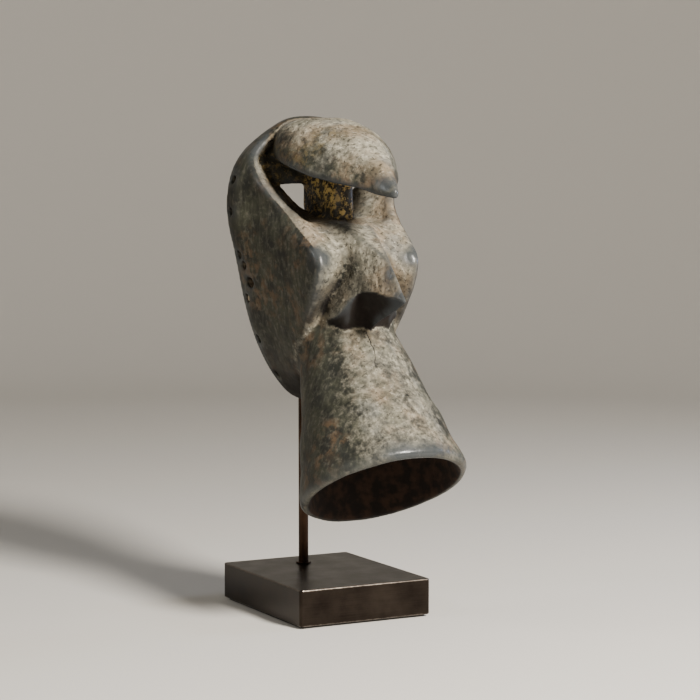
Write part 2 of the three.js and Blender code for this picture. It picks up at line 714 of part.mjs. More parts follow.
const mask = meshOf("mask_body", carvedMask(), wood);
mask.position.set(0, MASK_Y, MASK_Z);
group.add(mask);

export default group;
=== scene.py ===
"""A carved wooden face mask on its steel museum stand: the looks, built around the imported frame.

Each sub-assembly is a class whose fields are its sizes in millimetres. Each finish is a frozen dataclass.
The mask is one carved block, so its skin is drawn from a solid field of smoothly joined forms.
"""

import json
import logging
import math
from dataclasses import dataclass, field
from enum import Enum
from typing import Any, Iterable, Sequence

import bmesh
import bpy
import numpy as np
import openvdb
from mathutils import Matrix, Vector

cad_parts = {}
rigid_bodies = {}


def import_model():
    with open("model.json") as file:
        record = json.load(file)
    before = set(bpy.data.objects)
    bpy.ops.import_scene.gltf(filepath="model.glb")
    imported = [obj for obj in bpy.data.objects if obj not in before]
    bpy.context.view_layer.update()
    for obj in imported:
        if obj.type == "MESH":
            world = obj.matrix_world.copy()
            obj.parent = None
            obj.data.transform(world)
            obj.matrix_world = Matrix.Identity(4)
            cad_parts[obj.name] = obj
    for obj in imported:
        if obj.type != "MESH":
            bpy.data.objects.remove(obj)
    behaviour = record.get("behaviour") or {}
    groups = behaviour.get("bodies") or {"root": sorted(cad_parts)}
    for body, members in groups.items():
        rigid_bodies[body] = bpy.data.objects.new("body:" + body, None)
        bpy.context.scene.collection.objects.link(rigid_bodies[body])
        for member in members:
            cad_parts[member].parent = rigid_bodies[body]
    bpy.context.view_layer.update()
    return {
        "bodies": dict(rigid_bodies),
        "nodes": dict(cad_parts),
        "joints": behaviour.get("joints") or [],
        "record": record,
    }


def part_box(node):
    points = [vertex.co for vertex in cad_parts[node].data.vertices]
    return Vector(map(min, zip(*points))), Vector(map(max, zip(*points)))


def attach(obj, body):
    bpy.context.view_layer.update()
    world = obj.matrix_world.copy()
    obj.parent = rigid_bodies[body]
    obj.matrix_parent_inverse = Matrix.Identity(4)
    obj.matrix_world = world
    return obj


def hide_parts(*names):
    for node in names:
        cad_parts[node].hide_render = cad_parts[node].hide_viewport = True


MM = 0.001
LOG = logging.getLogger("mask")
Grid = np.ndarray
Profile = Sequence[tuple[float, float]]


class Slot(Enum):
    """The record's material slots."""

    WOOD = "carved_wood"
    BASE = "base_steel"
    ROD = "rod_steel"
    SCREW = "screw_steel"
    FELT = "felt"
    SLEEVE = "sleeve"


class Body(Enum):
    """The moving bodies of the stand and mask."""

    STAND = "stand"
    STEM = "stem"
    ARMATURE = "armature"
    PRONG_RIGHT = "prong_right"
    PRONG_LEFT = "prong_left"


class Axis(Enum):
    """The world axis that a turned piece spins about."""

    X = 0
    Y = 1
    Z = 2


# ---------------------------------------------------------------- small tools


def linear(code: str) -> tuple[float, float, float, float]:
    """Turns an sRGB hex colour to linear light.

    Args:
        code: six hex digits after a hash.

    Returns:
        Linear red, green, blue and an alpha of one.
    """
    parts = [int(code[i : i + 2], 16) / 255 for i in (1, 3, 5)]
    bright = [c / 12.92 if c <= 0.04045 else ((c + 0.055) / 1.055) ** 2.4 for c in parts]
    return (bright[0], bright[1], bright[2], 1.0)


class Node(Enum):
    """What a shader node does: its type, settings, the sockets that values go to in turn, and its output."""

    PLACE = ("ShaderNodeTexCoord", {}, (), "Object")
    ZONE = ("ShaderNodeAttribute", {}, (), "Fac")
    NOISE = ("ShaderNodeTexNoise", {}, ("Vector", "Scale", "Detail", "Roughness", "Distortion"), "Fac")
    MAPPING = ("ShaderNodeMapping", {}, ("Vector", "Scale", "Rotation"), 0)
    SPLIT = ("ShaderNodeSeparateXYZ", {}, (0,), 0)
    SCALED = ("ShaderNodeVectorMath", {"operation": "SCALE"}, (0, 3), 0)
    MOVED = ("ShaderNodeVectorMath", {"operation": "SUBTRACT"}, (0, 1), 0)
    FOLDED = ("ShaderNodeVectorMath", {"operation": "ABSOLUTE"}, (0,), 0)
    RANGE = ("ShaderNodeMapRange", {}, ("Value", "From Min", "From Max", "To Min", "To Max"), "Result")
    STEP = ("ShaderNodeMapRange", {"interpolation_type": "SMOOTHSTEP"}, RANGE[2], "Result")
    ADD = ("ShaderNodeMath", {"operation": "ADD"}, (0, 1), 0)
    SUBTRACT = ("ShaderNodeMath", {"operation": "SUBTRACT"}, (0, 1), 0)
    MULTIPLY = ("ShaderNodeMath", {"operation": "MULTIPLY"}, (0, 1), 0)
    MULTIPLY_ADD = ("ShaderNodeMath", {"operation": "MULTIPLY_ADD"}, (0, 1, 2), 0)
    MAXIMUM = ("ShaderNodeMath", {"operation": "MAXIMUM"}, (0, 1), 0)
    ABSOLUTE = ("ShaderNodeMath", {"operation": "ABSOLUTE"}, (0,), 0)
    MIX = ("ShaderNodeMix", {"data_type": "RGBA"}, (0, 6, 7), 2)
    BUMP = ("ShaderNodeBump", {}, ("Height", "Distance", "Strength"), 0)


def add(tree: bpy.types.NodeTree, kind: Node, *values: Any, **settings: Any) -> bpy.types.NodeSocket:
    """Adds a node with its settings and links.

    Args:
        tree: the material's tree.
        kind: what the node does.
        values: for the kind's sockets in turn, a number, a hex colour or the socket that feeds it.
        settings: more of the node's own properties.

    Returns:
        The node's main output.
    """
    name, usual, sockets, output = kind.value
    made = tree.nodes.new(name)
    for key, setting in {**usual, **settings}.items():
        setattr(made, key, setting)
    for socket, value in zip(sockets, values):
        if isinstance(value, bpy.types.NodeSocket):
            tree.links.new(value, made.inputs[socket])
        else:
            made.inputs[socket].default_value = linear(value) if isinstance(value, str) else value
    return made.outputs[output]


def millimetres(tree: bpy.types.NodeTree) -> bpy.types.NodeSocket:
    """The place on the piece, in millimetres."""
    return add(tree, Node.SCALED, add(tree, Node.PLACE), 1 / MM)


def lessened(
    tree: bpy.types.NodeTree, share: bpy.types.NodeSocket, by: bpy.types.NodeSocket, most: float = 1.0
) -> bpy.types.NodeSocket:
    """Lowers one share by up to the given part of another."""
    kept = add(tree, Node.SUBTRACT, 1.0, add(tree, Node.MULTIPLY, by, most))
    return add(tree, Node.MULTIPLY, share, kept, use_clamp=True)


def smin(a: Grid, b: Grid, k: float) -> Grid:
    """Joins two distance fields with a fillet about k wide."""
    h = np.clip(0.5 + 0.5 * (b - a) / k, 0, 1)
    return b * (1 - h) + a * h - k * h * (1 - h)


def smax(a: Grid, b: Grid, k: float) -> Grid:
    """Keeps what two distance fields share, with the edge eased about k wide."""
    return -smin(-a, -b, k)


def table(x: Grid | float, pairs: Profile, soft: float = 2.5) -> Grid:
    """Reads a smoothed table of (place, value) pairs.

    Args:
        x: where to read it.
        pairs: the table's own places and values.
        soft: how far each corner is eased, in the places' unit.

    Returns:
        The value at each x.
    """
    places, values = zip(*sorted(pairs))
    fine = np.arange(places[0] - 4 * soft, places[-1] + 4 * soft, soft / 5)
    eased = blurred(np.interp(fine, places, values).astype(np.float32), 4)
    return np.interp(x, fine, eased).astype(np.float32)


def ease(x: Grid, low: float, high: float) -> Grid:
    """Rises smoothly from nought at low to one at high."""
    t = np.clip((x - low) / (high - low), 0, 1)
    return t * t * (3 - 2 * t)


def blurred(values: Grid, reach: int) -> Grid:
    """Box-blurs an array along each of its axes, twice.

    Args:
        values: the array.
        reach: cells taken in on each side.

    Returns:
        The blurred array, of the same shape.
    """
    width = 2 * reach + 1
    for axis in range(values.ndim):
        for _ in range(2):
            pad = [(0, 0)] * values.ndim
            pad[axis] = (reach + 1, reach)
            total = np.cumsum(np.pad(values, pad, mode="edge"), axis=axis, dtype=np.float64)
            high = np.take(total, range(width, total.shape[axis]), axis=axis)
            low = np.take(total, range(0, total.shape[axis] - width), axis=axis)
            values = ((high - low) / width).astype(np.float32)
    return values


def grain(points: Grid, spacing: float | Sequence[float], seed: int) -> Grid:
    """Smooth noise from a seeded lattice.

    Args:
        points: places in millimetres, one a row.
        spacing: the lattice's cell in millimetres, one number or one for each axis.
        seed: the lattice's seed.

    Returns:
        A value from -1 to 1 for each point.
    """
    side = 32
    lattice = np.random.default_rng(seed).uniform(-1, 1, (side, side, side))
    place = points / np.asarray(spacing, float)
    cell = np.floor(place).astype(int)
    part = place - cell
    part = part * part * (3 - 2 * part)
    total = np.zeros(len(points))
    for corner in np.ndindex(2, 2, 2):
        share = np.prod([part[:, i] if corner[i] else 1 - part[:, i] for i in range(3)], axis=0)
        i, j, k = ((cell[:, n] + corner[n]) % side for n in range(3))
        total += share * lattice[i, j, k]
    return total


# ---------------------------------------------------------------- the carved mask


@dataclass
class CarvedMask:
    """The mask, carved from one block: hollow head, jutting brow, wedge nose and a flared trumpet of a mouth.

    Mask frame: x sideways, f forwards from the back rim's plane, z up from the chin's edge.
    """

    voxel: float = 1.2
    rim: Profile = (
        (0, 201.2), (9.9, 200.6), (19.3, 198), (28.5, 193), (38.8, 186), (49.8, 176.6), (57.5, 165.5),
        (61.2, 154.4), (62.6, 143.4), (62.4, 132.3), (60.8, 121.2), (58, 110), (55.6, 98.9), (53.2, 87.7),
        (50.8, 76.4), (48, 65.2), (44.5, 53.8), (40.2, 42.5), (34.6, 31), (27.4, 19.4), (17.5, 7.6), (8.3, 1.8),
        (0, 0),
    )
    draw_in: Profile = (
        (201, 0.0037), (160, 0.0038), (152, 0.0040), (146, 0.0050), (140, 0.0060), (130, 0.0055), (121, 0.0044),
        (112, 0.0036), (104, 0.0033), (99, 0.0031), (86, 0.0028), (72, 0.0027), (58, 0.0023), (45, 0.0022),
        (30, 0.0019), (10, 0.0015),
    )
    rim_wall: float = 9
    hollow_depth: float = 26
    hollow_mid_z: float = 112
    brow_hollow: float = 13.5
    eye_wall: float = 7.5
    crest_round: Profile = ((120, 7), (140, 5), (165, 3))
    crest_width: Profile = ((130, 8), (150, 6.5), (165, 5))
    ridge: Profile = (
        (201, 3.5), (197.6, 8), (192, 10.5), (183, 13), (172, 17), (168, 19.5), (162, 26), (157, 31.5),
        (152, 36.5), (146, 41), (140, 46.5), (135, 53), (130, 59.5), (125, 67), (120.8, 74), (116, 82.5),
        (112, 88.5), (107, 94.5), (99.5, 97), (92, 94.5), (86, 91.5), (79, 87.5), (72, 82.5), (65, 77),
        (58, 71), (45, 61), (30, 49.5), (10, 37), (-10, 30),
    )
    ridge_x: Profile = ((119, 41), (112, 40), (106, 39), (90, 38), (75, 37), (55, 34), (30, 31), (10, 31))
    face: Sequence[tuple[float, float, float, float]] = (
        (128, 62, 62, 62), (119, 76, 76, 76), (112, 83, 82.5, 84), (106, 88, 87.5, 89.5), (98, 90, 88.5, 91.5),
        (90, 90, 86.5, 89), (84, 88, 83.5, 86), (75, 83, 78, 80.5), (66, 76, 71, 74), (55, 66, 62, 65),
        (45, 57, 54, 57), (30, 45, 44, 46), (10, 36, 36, 38), (-10, 30, 30, 30),
    )
    recess: Profile = ((15, -83.5), (39, -71), (47, -67.8), (54, -65.2), (64, -66))
    eye_edge: float = -91.2
    eye_low_z: float = 133
    eye_high_z: float = 153.2
    eye_inner_x: float = 10.2
    bridge_front: float = 59
    bridge: Profile = ((0, 10.2), (22, 10.2), (40, 8.6), (59, 6.6))
    visor_width: Profile = (
        (-4, 22), (4, 27), (14, 32.5), (25, 37), (36, 39.4), (47, 40.5), (55, 39.8), (62, 37.5), (70, 34.6),
        (77, 31.4), (86, 27), (95, 22), (103, 17.2), (111, 12.6), (117, 9.6), (122, 7.2), (127, 4.6), (131, 2.2),
    )
    visor_top: Profile = (
        (-4, 195), (4, 197.8), (14, 198.6), (27, 198.9), (36, 198.3), (45, 197), (54, 195.2), (62, 192.8),
        (74, 188.3), (88, 182), (100, 174.8), (112, 166.2), (122, 157.4), (131, 149),
    )
    visor_low: Profile = (
        (-4, 178), (25, 170.2), (33, 168.2), (48, 164.6), (58.5, 161), (70.5, 157), (81, 154.8), (90.5, 152.8),
        (103, 149.6), (116.5, 145.3), (131, 142.6),
    )
    nose_ridge: Profile = (
        (128, 64), (121.5, 82), (114, 100), (107, 114), (101, 122), (90, 132.5), (79.5, 140), (76, 145),
    )
    rubbed: tuple[tuple[float, float, float, float, float], ...] = (
        (38, 90, 107, 6, 10), (33, 93, 104, 6, 8), (1, 127, 95, 6, 12), (1, 139, 82, 6, 11), (4, 124, 153, 8, 6),
        (8, 163, -21, 18, 7),
    )
    nose_arch: float = 20
    nose_wing: float = 27.5
    nose_slope: Profile = (
        (127, 1.2), (117, 1.8), (107, 2.5), (100, 2.7), (87, 3.0), (77, 2.85), (67, 2.55), (57, 2.4), (50, 2.4),
    )
    nose_flat: Profile = ((128, 12), (121, 8), (114, 4), (107, 1.2), (100, 0), (50, 0))
    funnel_out: Profile = (
        (-6, 55), (0, 56.5), (4, 57.5), (12, 55.8), (25, 52), (43, 48.8), (55, 44.5), (66, 42.2), (78, 40),
        (103, 34.6), (125, 31), (150, 28),
    )
    funnel_in: Profile = ((-6, 53.5), (0, 51.5), (4, 50), (25, 44.5), (50, 37.5), (78, 31), (108, 24.5), (184, 17))
    laces: Sequence[tuple[float, float, float]] = (
        (6.5, 156, 5.4), (6.5, 134, 5.4), (7, 104, 5.4), (10.5, 97, 5.4), (13.5, 85, 7), (7, 74, 5.4),
        (6.5, 45, 5.4), (8.5, 20, 5.4),
    )
    grids: dict[str, Grid] = field(default_factory=dict)

    def place(self) -> None:
        """Finds where the mask stands from its node in the frame."""
        low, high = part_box("mask_body")
        self.back_y = high.y / MM
        self.chin_z = high.z / MM - 201
        LOG.info("mask box %s to %s", tuple(low), tuple(high))

    def axes(self) -> tuple[Grid, Grid, Grid]:
        """The field's three axes, from the middle plane outwards."""
        x = np.arange(0, 66, self.voxel, dtype=np.float32)
        f = np.arange(-6, 170, self.voxel, dtype=np.float32)
        z = np.arange(-88, 206, self.voxel, dtype=np.float32)
        return x, f, z

    def outline(self, steps: int = 8) -> Grid:
        """The back rim as a closed smooth polygon.

        Args:
            steps: points drawn between each pair of the rim's own.

        Returns:
            The polygon's corners, one (x, z) a row.
        """
        half = np.array(self.rim, float)
        loop = np.vstack([half, half[-2:0:-1] * [-1, 1]])
        a, b, c, d = (np.roll(loop, n, axis=0) for n in (1, 0, -1, -2))
        drawn = []
        for t in np.arange(steps) / steps:
            drawn.append(
                0.5 * (2 * b + (c - a) * t + (2 * a - 5 * b + 4 * c - d) * t**2 + (3 * b - a - 3 * c + d) * t**3)
            )
        return np.stack(drawn, axis=1).reshape(-1, 2)

    def outline_field(self, x: Grid, z: Grid) -> Grid:
        """Signed distance to the rim's outline.

        Args:
            x: sideways places.
            z: heights.

        Returns:
            Distances over the grid of x by z, below nought inside.
        """
        loop = self.outline()
        px, pz = np.meshgrid(x, z, indexing="ij")
        near = np.full(px.shape, 1e9)
        inside = np.zeros(px.shape, bool)
        for (ax, az), (bx, bz) in zip(loop, np.roll(loop, -1, axis=0)):
            ex, ez = bx - ax, bz - az
            t = np.clip(((px - ax) * ex + (pz - az) * ez) / (ex * ex + ez * ez), 0, 1)
            near = np.minimum(near, np.hypot(px - ax - t * ex, pz - az - t * ez))
            if az != bz:
                crosses = (az > pz) != (bz > pz)
                inside ^= crosses & (px < ax + (pz - az) / ez * ex)
        return np.where(inside, -near, near).astype(np.float32)

    def hull_field(self, x: Grid, f: Grid, z: Grid) -> Grid:
        """Distance to the tapering flanks: the rim's outline, drawn in as it goes forwards."""
        tx = np.arange(0, 110, 1.0)
        flat = self.outline_field(tx, z)
        draw_in = blurred(table(z, self.draw_in)[None, :], 3)[0]
        hull = np.empty((len(x), len(f), len(z)), np.float32)
        columns = np.arange(len(z))[None, :]
        for n, forwards in enumerate(f):
            s = (1 - draw_in * forwards * ease(forwards, 0, 24))[None, :]
            u = np.clip(x[:, None] / s, 0, 108.9)
            i = u.astype(int)
            part = u - i
            hull[:, n, :] = (flat[i, columns] * (1 - part) + flat[i + 1, columns] * part) * s
        return hull

    def face_height(self, x: Grid, z: Grid) -> Grid:
        """How far forwards the flat face and the ridges beside it stand, over x by z."""
        ridge = table(z, self.ridge)
        ridge_x = table(z, self.ridge_x)
        height = np.empty((len(x), len(z)), np.float32)
        rows = np.array(sorted(self.face))
        for n, up in enumerate(z):
            if up >= 128:
                height[:, n] = ridge[n]
                continue
            mid = [np.interp(up, rows[:, 0], rows[:, c]) for c in (1, 2, 3)]
            height[:, n] = np.interp(x, [0, 16, 26, ridge_x[n]], [*mid, ridge[n]])
        mirrored = np.vstack([height[:0:-1], height])
        return blurred(mirrored, 1)[len(x) - 1 :]

    def hollow_reach(self, x: Grid, z: Grid) -> Grid:
        """Share of the way from the hollow's middle to its wall, over x by z."""
        loop = self.outline() - [0, self.hollow_mid_z]
        turn = np.arctan2(loop[:, 0], loop[:, 1])
        order = np.argsort(turn)
        reach = np.hypot(loop[:, 0], loop[:, 1]) - self.rim_wall
        px, pz = np.meshgrid(x, z - self.hollow_mid_z, indexing="ij")
        wall = np.interp(np.arctan2(px, pz), turn[order], reach[order], period=2 * math.pi)
        return (np.hypot(px, pz) / wall).astype(np.float32)

    def evened(self, g: Grid) -> Grid:
        """Divides a field by its own steepness, so that it measures millimetres near its surface."""
        slopes = np.gradient(g, self.voxel)
        steep = np.sqrt(sum(s * s for s in slopes))
        return g / np.maximum(steep, 1e-3)

    def visor_field(self, x: Grid, f: Grid, z: Grid) -> Grid:
        """The jutting brow: domed above, flat below, boxy at its root and drawn to a blunt beak."""
        width = np.maximum(table(f, self.visor_width), 0.6)
        under = table(f, self.visor_low)
        rise = np.maximum(table(f, self.visor_top) - under, 2.5)
        power = table(f, ((14, 2.9), (40, 2.25), (70, 2)))
        across = np.abs(x / width) ** power + np.maximum((z - under) / rise, 0) ** power
        dome = self.evened(np.maximum(across, 1e-6) ** (1 / power) - 1)
        body = smax(dome, under - z, 4)
        return smax(body, f - 131.5, 3)

    def nose_field(self, x: Grid, f: Grid, z: Grid) -> Grid:
        """The wedge nose with its broad, hollowed underside."""
        line = z.ravel()
        up, across = np.meshgrid(line, x.ravel())
        aside = np.maximum(across - table(up, self.nose_flat), 0)
        front = table(up, self.nose_ridge) - table(up, self.nose_slope) * (np.hypot(aside, 1.6) - 1.6)
        dx, dz = np.gradient(front, self.voxel)
        steep = np.sqrt(1 + dx * dx + dz * dz)
        bulge = (f - front[:, None, :]) / steep[:, None, :]
        swell = np.clip(np.sin(math.pi * np.clip(x / self.nose_wing, 0, 1)), 0, 1)
        arch = swell**1.4 * ease(f, 88, 104)
        under = 56 + 0.41 * (f - 96) + self.nose_arch * arch + 9 * ease(x, 15, 23)
        floor = (under - z) / 1.5
        body = smax(smax(bulge, floor, 1.6), 40 - f, 2)
        return smax(body, smax(z - 127, x - 25, 4), 3)

    def funnel_fields(self, x: Grid, f: Grid, z: Grid) -> tuple[Grid, Grid]:
        """The trumpet mouth and its bore.

        Returns:
            The outer form's field and the bore's.
        """
        s = -0.5 * (f - 116) + 0.866 * (z + 51)
        t = 0.866 * (f - 116) + 0.5 * (z + 51)
        reach = np.sqrt(x * x + t * t)
        outer = (reach - table(s, self.funnel_out)) / 1.03
        outer = smax(smax(outer, -s, 4.5), s - 150, 6)
        bore = (reach - table(s, self.funnel_in)) / 1.04
        return outer, smax(bore, s - 186, 3)

    def build_field(self) -> Grid:
        """Builds the mask's solid field.

        Returns:
            Distances over half the block, below nought inside the wood.
        """
        ax, af, az = self.axes()
        x, f, z = ax[:, None, None], af[None, :, None], az[None, None, :]
        hull = self.hull_field(ax, af, az)
        height = self.face_height(ax, az)
        dx, dz = np.gradient(height, self.voxel)
        steep = np.sqrt(1 + dx * dx + dz * dz)[:, None, :]
        wood = smax(hull, (f - height[:, None, :]) / steep, table(z, self.crest_round))
        reach = self.hollow_reach(ax, az)[:, None, :]
        bowl = self.evened(np.sqrt(reach**2 + (np.maximum(f, 0) / self.hollow_depth) ** 2) - 1)
        cap = table(z, ((122, self.hollow_depth + 4), (136, self.brow_hollow)))
        bowl = smax(bowl, f - cap, 6)
        deep = np.minimum(self.hollow_depth * np.sqrt(np.clip(1 - reach**2, 0, 1)), cap)
        diagonal = 0.72 * x - 0.69 * z
        sill = 134 - (f - 16) * 0.177
        recess = smax(diagonal - table(f, self.recess), sill - z, 5)
        recess = smax(recess, hull + table(z, self.crest_width), 5)
        recess = smax(recess, deep + self.eye_wall - f, 4)
        recess = smax(recess, z - 190, 3)
        wood = smax(wood, -recess, 2.6)
        visor = self.visor_field(x, f, z)
        bridge = smax(x - table(f, self.bridge), f - self.bridge_front, 4)
        bridge = smax(bridge, smax(112 - z, z - 178, 2), 2)
        bridge = smax(bridge, 4 - f, 2)
        wood = smin(wood, bridge, 6)
        wood = smin(wood, visor, 3.5)
        outer, bore = self.funnel_fields(x, f, z)
        wood = smin(wood, outer, 8)
        nose = self.nose_field(x, f, z)
        wood = smin(wood, nose, 3)
        eye = smax(0.673 * x - 0.739 * z - self.eye_edge, self.eye_inner_x - x, 1.5)
        eye = smax(eye, smax(z - self.eye_high_z, self.eye_low_z - z, 1.5), 3)
        eye = smax(eye, smax(f - 26, -5 - f, 2), 2)
        wood = smax(wood, -eye, 1.6)
        wood = smax(wood, -bore, 3)
        wood = smax(wood, -bowl, 2.5)
        for forwards, up, across in self.laces:
            hole = np.hypot(f - forwards, z - up) - across / 2
            wood = smax(wood, np.broadcast_to(-np.maximum(hole, 25 - x), wood.shape), 0.8)
        wood = smax(wood, np.broadcast_to(-f, wood.shape), 2)
        self.grids = {"hull": hull, "recess": recess, "visor": visor, "nose": nose, "outer": outer, "bridge": bridge}
        self.grids |= {"bore": bore, "bowl": bowl, "wood": wood, "round": blurred(wood, 3)}
        return wood

    def sampled(self, grid: Grid, points: Grid) -> Grid:
        """Reads a half grid at points in the mask frame.

        Args:
            grid: a field over half the block.
            points: places, one (x, f, z) a row.

        Returns:
            The field's value at each point.
        """
        _, f, z = self.axes()
        place = np.stack([np.abs(points[:, 0]), points[:, 1] - f[0], points[:, 2] - z[0]], 1) / self.voxel
        place = np.clip(place, 0, np.array(grid.shape) - 1.001)
        cell = place.astype(int)
        part = place - cell
        total = np.zeros(len(points))
        for corner in np.ndindex(2, 2, 2):
            share = np.prod([part[:, i] if corner[i] else 1 - part[:, i] for i in range(3)], axis=0)
            total += share * grid[tuple(cell[:, n] + corner[n] for n in range(3))]
        return total

    def normals(self, points: Grid) -> Grid:
        """The wood's outward normals at points in the mask frame."""
        step = self.voxel * 1.5
        wood = self.grids["wood"]
        slopes = [
            self.sampled(wood, points + step * axis) - self.sampled(wood, points - step * axis) for axis in np.eye(3)
        ]
        out = np.stack(slopes, 1)
        return out / np.maximum(np.linalg.norm(out, axis=1, keepdims=True), 1e-6)

    def regions(self, points: Grid, out: Grid) -> dict[str, Grid]:
        """Where the skin is worn, crusted, tooled, socketed or inside, and where shade is painted: sheltered hollows,
        undersides, the nose's crease and the sides of the brow and mouth.

        Args:
            points: the skin's points in the mask frame.
            out: their outward normals.

        Returns:
            Shares from 0 to 1 by name.
        """
        at = {name: self.sampled(grid, points) for name, grid in self.grids.items()}
        f, z = points[:, 1], points[:, 2]
        worn = ease(at["round"], 0.35, 1.6) * (1 - 0.5 * ease(-z, -10, 10) * ease(f, 60, 80))
        for x0, f0, z0, wide, tall in self.rubbed:
            away = (
                ((np.abs(points[:, 0]) - x0) / wide) ** 2 + ((f - f0) / wide) ** 2
                + ((z - z0) / tall) ** 2
            )
            worn = np.maximum(worn, 1.25 * np.exp(-away))
        # How hidden each point is from the open air, for the painted shade and ochre dirt in the hollows.
        shade = np.zeros(len(points))
        for reach in (6, 14, 28):
            free = self.sampled(self.grids["wood"], points + out * reach)
            shade += np.clip(1 - free / reach, 0, 1) / 3
        behind = ease(-out[:, 1], 0.35, 0.9) * ease(f, 30, 12)
        inside = np.maximum(ease(-at["bore"], -1.8, -0.6), ease(-at["bowl"], -1.8, -0.6))
        flank = ease(-np.abs(at["hull"]), -2.6, -1.0) * ease(f, 0.5, 3) * (1 - inside)
        flank = flank * ease(at["outer"], 1, 7) * ease(at["visor"], 0.8, 2.5)
        socket = ease(-np.abs(at["recess"]), -3.4, -1.4) * ease(at["visor"], -0.5, 0.8) * ease(f, 6, 12)
        column = (
            ease(-at["bridge"], -3.5, -1.0) * ease(f, 12, 18) * ease(z, 122, 127)
            * ease(at["visor"], -0.5, 0.8)
        )
        socket = np.maximum(socket, column) * (1 - inside)
        # Painted shade: the socket's darkening is kept to the column, the near (-x) side and the skin under the brow,
        # where shade falls.
        socket_shade_reach = np.maximum(ease(-points[:, 0], 24, 32) * ease(z, 126, 136), ease(z, 149, 156))
        socket = socket * np.maximum(column, socket_shade_reach)
        # Painted shade: a band beside the nose, where it meets the cheek, marks the crease to darken.
        side = ease(np.abs(points[:, 0]), 7, 12) * ease(z, 62, 68) * ease(z, 112, 100)
        crevice = ease(at["nose"], 6.5, 2) * ease(at["nose"], -1.5, 0.5) * side * (1 - inside)
        dust = np.clip(column * ease(points[:, 0], 9, 1) + 0.4 * column + 0.25 * socket, 0, 1)
        crest = (
            ease(-np.abs(at["hull"]), -8.5, -5) * (1 - flank) * ease(z, 96, 120) * ease(at["visor"], 0.5, 2)
            * ease(f, 8, 16)
        )
        visor = ease(-at["visor"], -2.5, -0.6)
        nose = ease(-at["nose"], -2.5, -0.8) * (1 - inside)
        funnel = ease(-at["outer"], -3, -1) * (1 - inside) * (1 - nose)
        # Painted shade: skin that faces down, and the nose's underside, is darkened towards soot in the finish.
        below = np.maximum(
            ease(-out[:, 2], 0.2, 0.75), nose * ease(-out[:, 2], -0.02, 0.25) * ease(z, 92, 86)
        )
        # Painted shade and light: mouth and brow skin facing sideways gets less crust and so is darker, the brow's top
        # gets more and so is lighter, and downward skin under the brow and nose gets less.
        aside = ease(np.abs(out[:, 0]), 0.35, 0.95)
        crust = 0.82 - 0.68 * flank - 0.35 * socket - 0.16 * funnel + 0.15 * visor * out[:, 2]
        crust = crust - 0.4 * aside * (funnel + visor) * (1 - flank) + 0.9 * crest
        socket = socket * (1 - crest)
        crust = crust * (1 - 0.8 * below * np.maximum(visor, nose)) * (1 - inside) * (1 - 0.6 * behind)
        return {
            "worn": worn, "hollow_shade_and_dirt": ease(shade, 0.05, 0.6), "crust": np.clip(crust, 0, 1), "flank": flank,
            "socket": socket, "inside": np.clip(inside, 0, 1), "below": below * (1 - funnel),
            "funnel": funnel, "dust": dust * (1 - inside) * (1 - crest), "crevice": crevice,
        }

    def weathered(self, points: Grid, out: Grid, zones: dict[str, Grid]) -> Grid:
        """Moves the skin by the knife's facets, slow undulations and the crust's thickness.

        Args:
            points: the skin's points in the mask frame.
            out: their outward normals.
            zones: shares from `regions`.

        Returns:
            The moved points.
        """
        slow = 0.75 * grain(points, 34, 11) + 0.35 * grain(points, 15, 12)
        facets = 0.28 * np.abs(grain(points, (16, 11, 26), 13)) + 0.1 * grain(points, (7, 5, 14), 14)
        lumps = 0.34 * grain(points, 4.2, 15) + 0.24 * grain(points, 2.5, 16)
        patch = 0.5 + 0.5 * grain(points, 11, 17)
        pits = -0.5 * ease(grain(points, 3.1, 18), 0.42, 0.75)
        calm = 1 - 0.85 * zones["worn"]
        crusted = (lumps * (0.35 + 0.9 * patch) + pits) * (0.25 + zones["crust"]) * calm
        crusted = crusted * (1 - 0.75 * zones["flank"]) * (1 - 0.55 * zones["funnel"])
        move = slow + facets * (0.4 + zones["flank"]) + crusted + 0.4 * lumps * zones["socket"]
        near_mount = ease(points[:, 1], 10, 18) + zones["flank"] * ease(points[:, 1], 4, 9)
        return points + out * (move * np.clip(near_mount, 0.15, 1))[:, None]

    def build(self) -> bpy.types.Object:
        """Builds the mask's skin and records its zones on it.

        Returns:
            The mask as one closed mesh in the row frame.
        """
        self.place()
        half = self.build_field()
        block = np.concatenate([half[:0:-1], half], axis=0)
        volume = openvdb.FloatGrid(background=5.0)
        volume.copyFromArray(np.ascontiguousarray(block, np.float32))
        cells, quads = volume.convertToQuads(0.0)
        _, f, z = self.axes()
        points = np.array(cells) * self.voxel + [-(half.shape[0] - 1) * self.voxel, f[0], z[0]]
        out = self.normals(points)
        zones = self.regions(points, out)
        points = self.weathered(points, out, zones)
        world = np.stack([points[:, 0], self.back_y - points[:, 1], points[:, 2] + self.chin_z], 1) * MM
        mesh = bpy.data.meshes.new("carved_mask")
        mesh.from_pydata(world.tolist(), [], np.array(quads)[:, ::-1].tolist())
        for name, share in zones.items():
            layer = mesh.attributes.new(name, "FLOAT", "POINT")
            layer.data.foreach_set("value", np.asarray(share, np.float32))
        mesh.polygons.foreach_set("use_smooth", [True] * len(mesh.polygons))
        made = bpy.data.objects.new("carved_mask", mesh)
        bpy.context.scene.collection.objects.link(made)
        LOG.info("carved_mask: %d quads", len(quads))
        return made


# ---------------------------------------------------------------- finishes


GRAIN = 0.55  # a noise's scale, times the size in millimetres that its grains then have


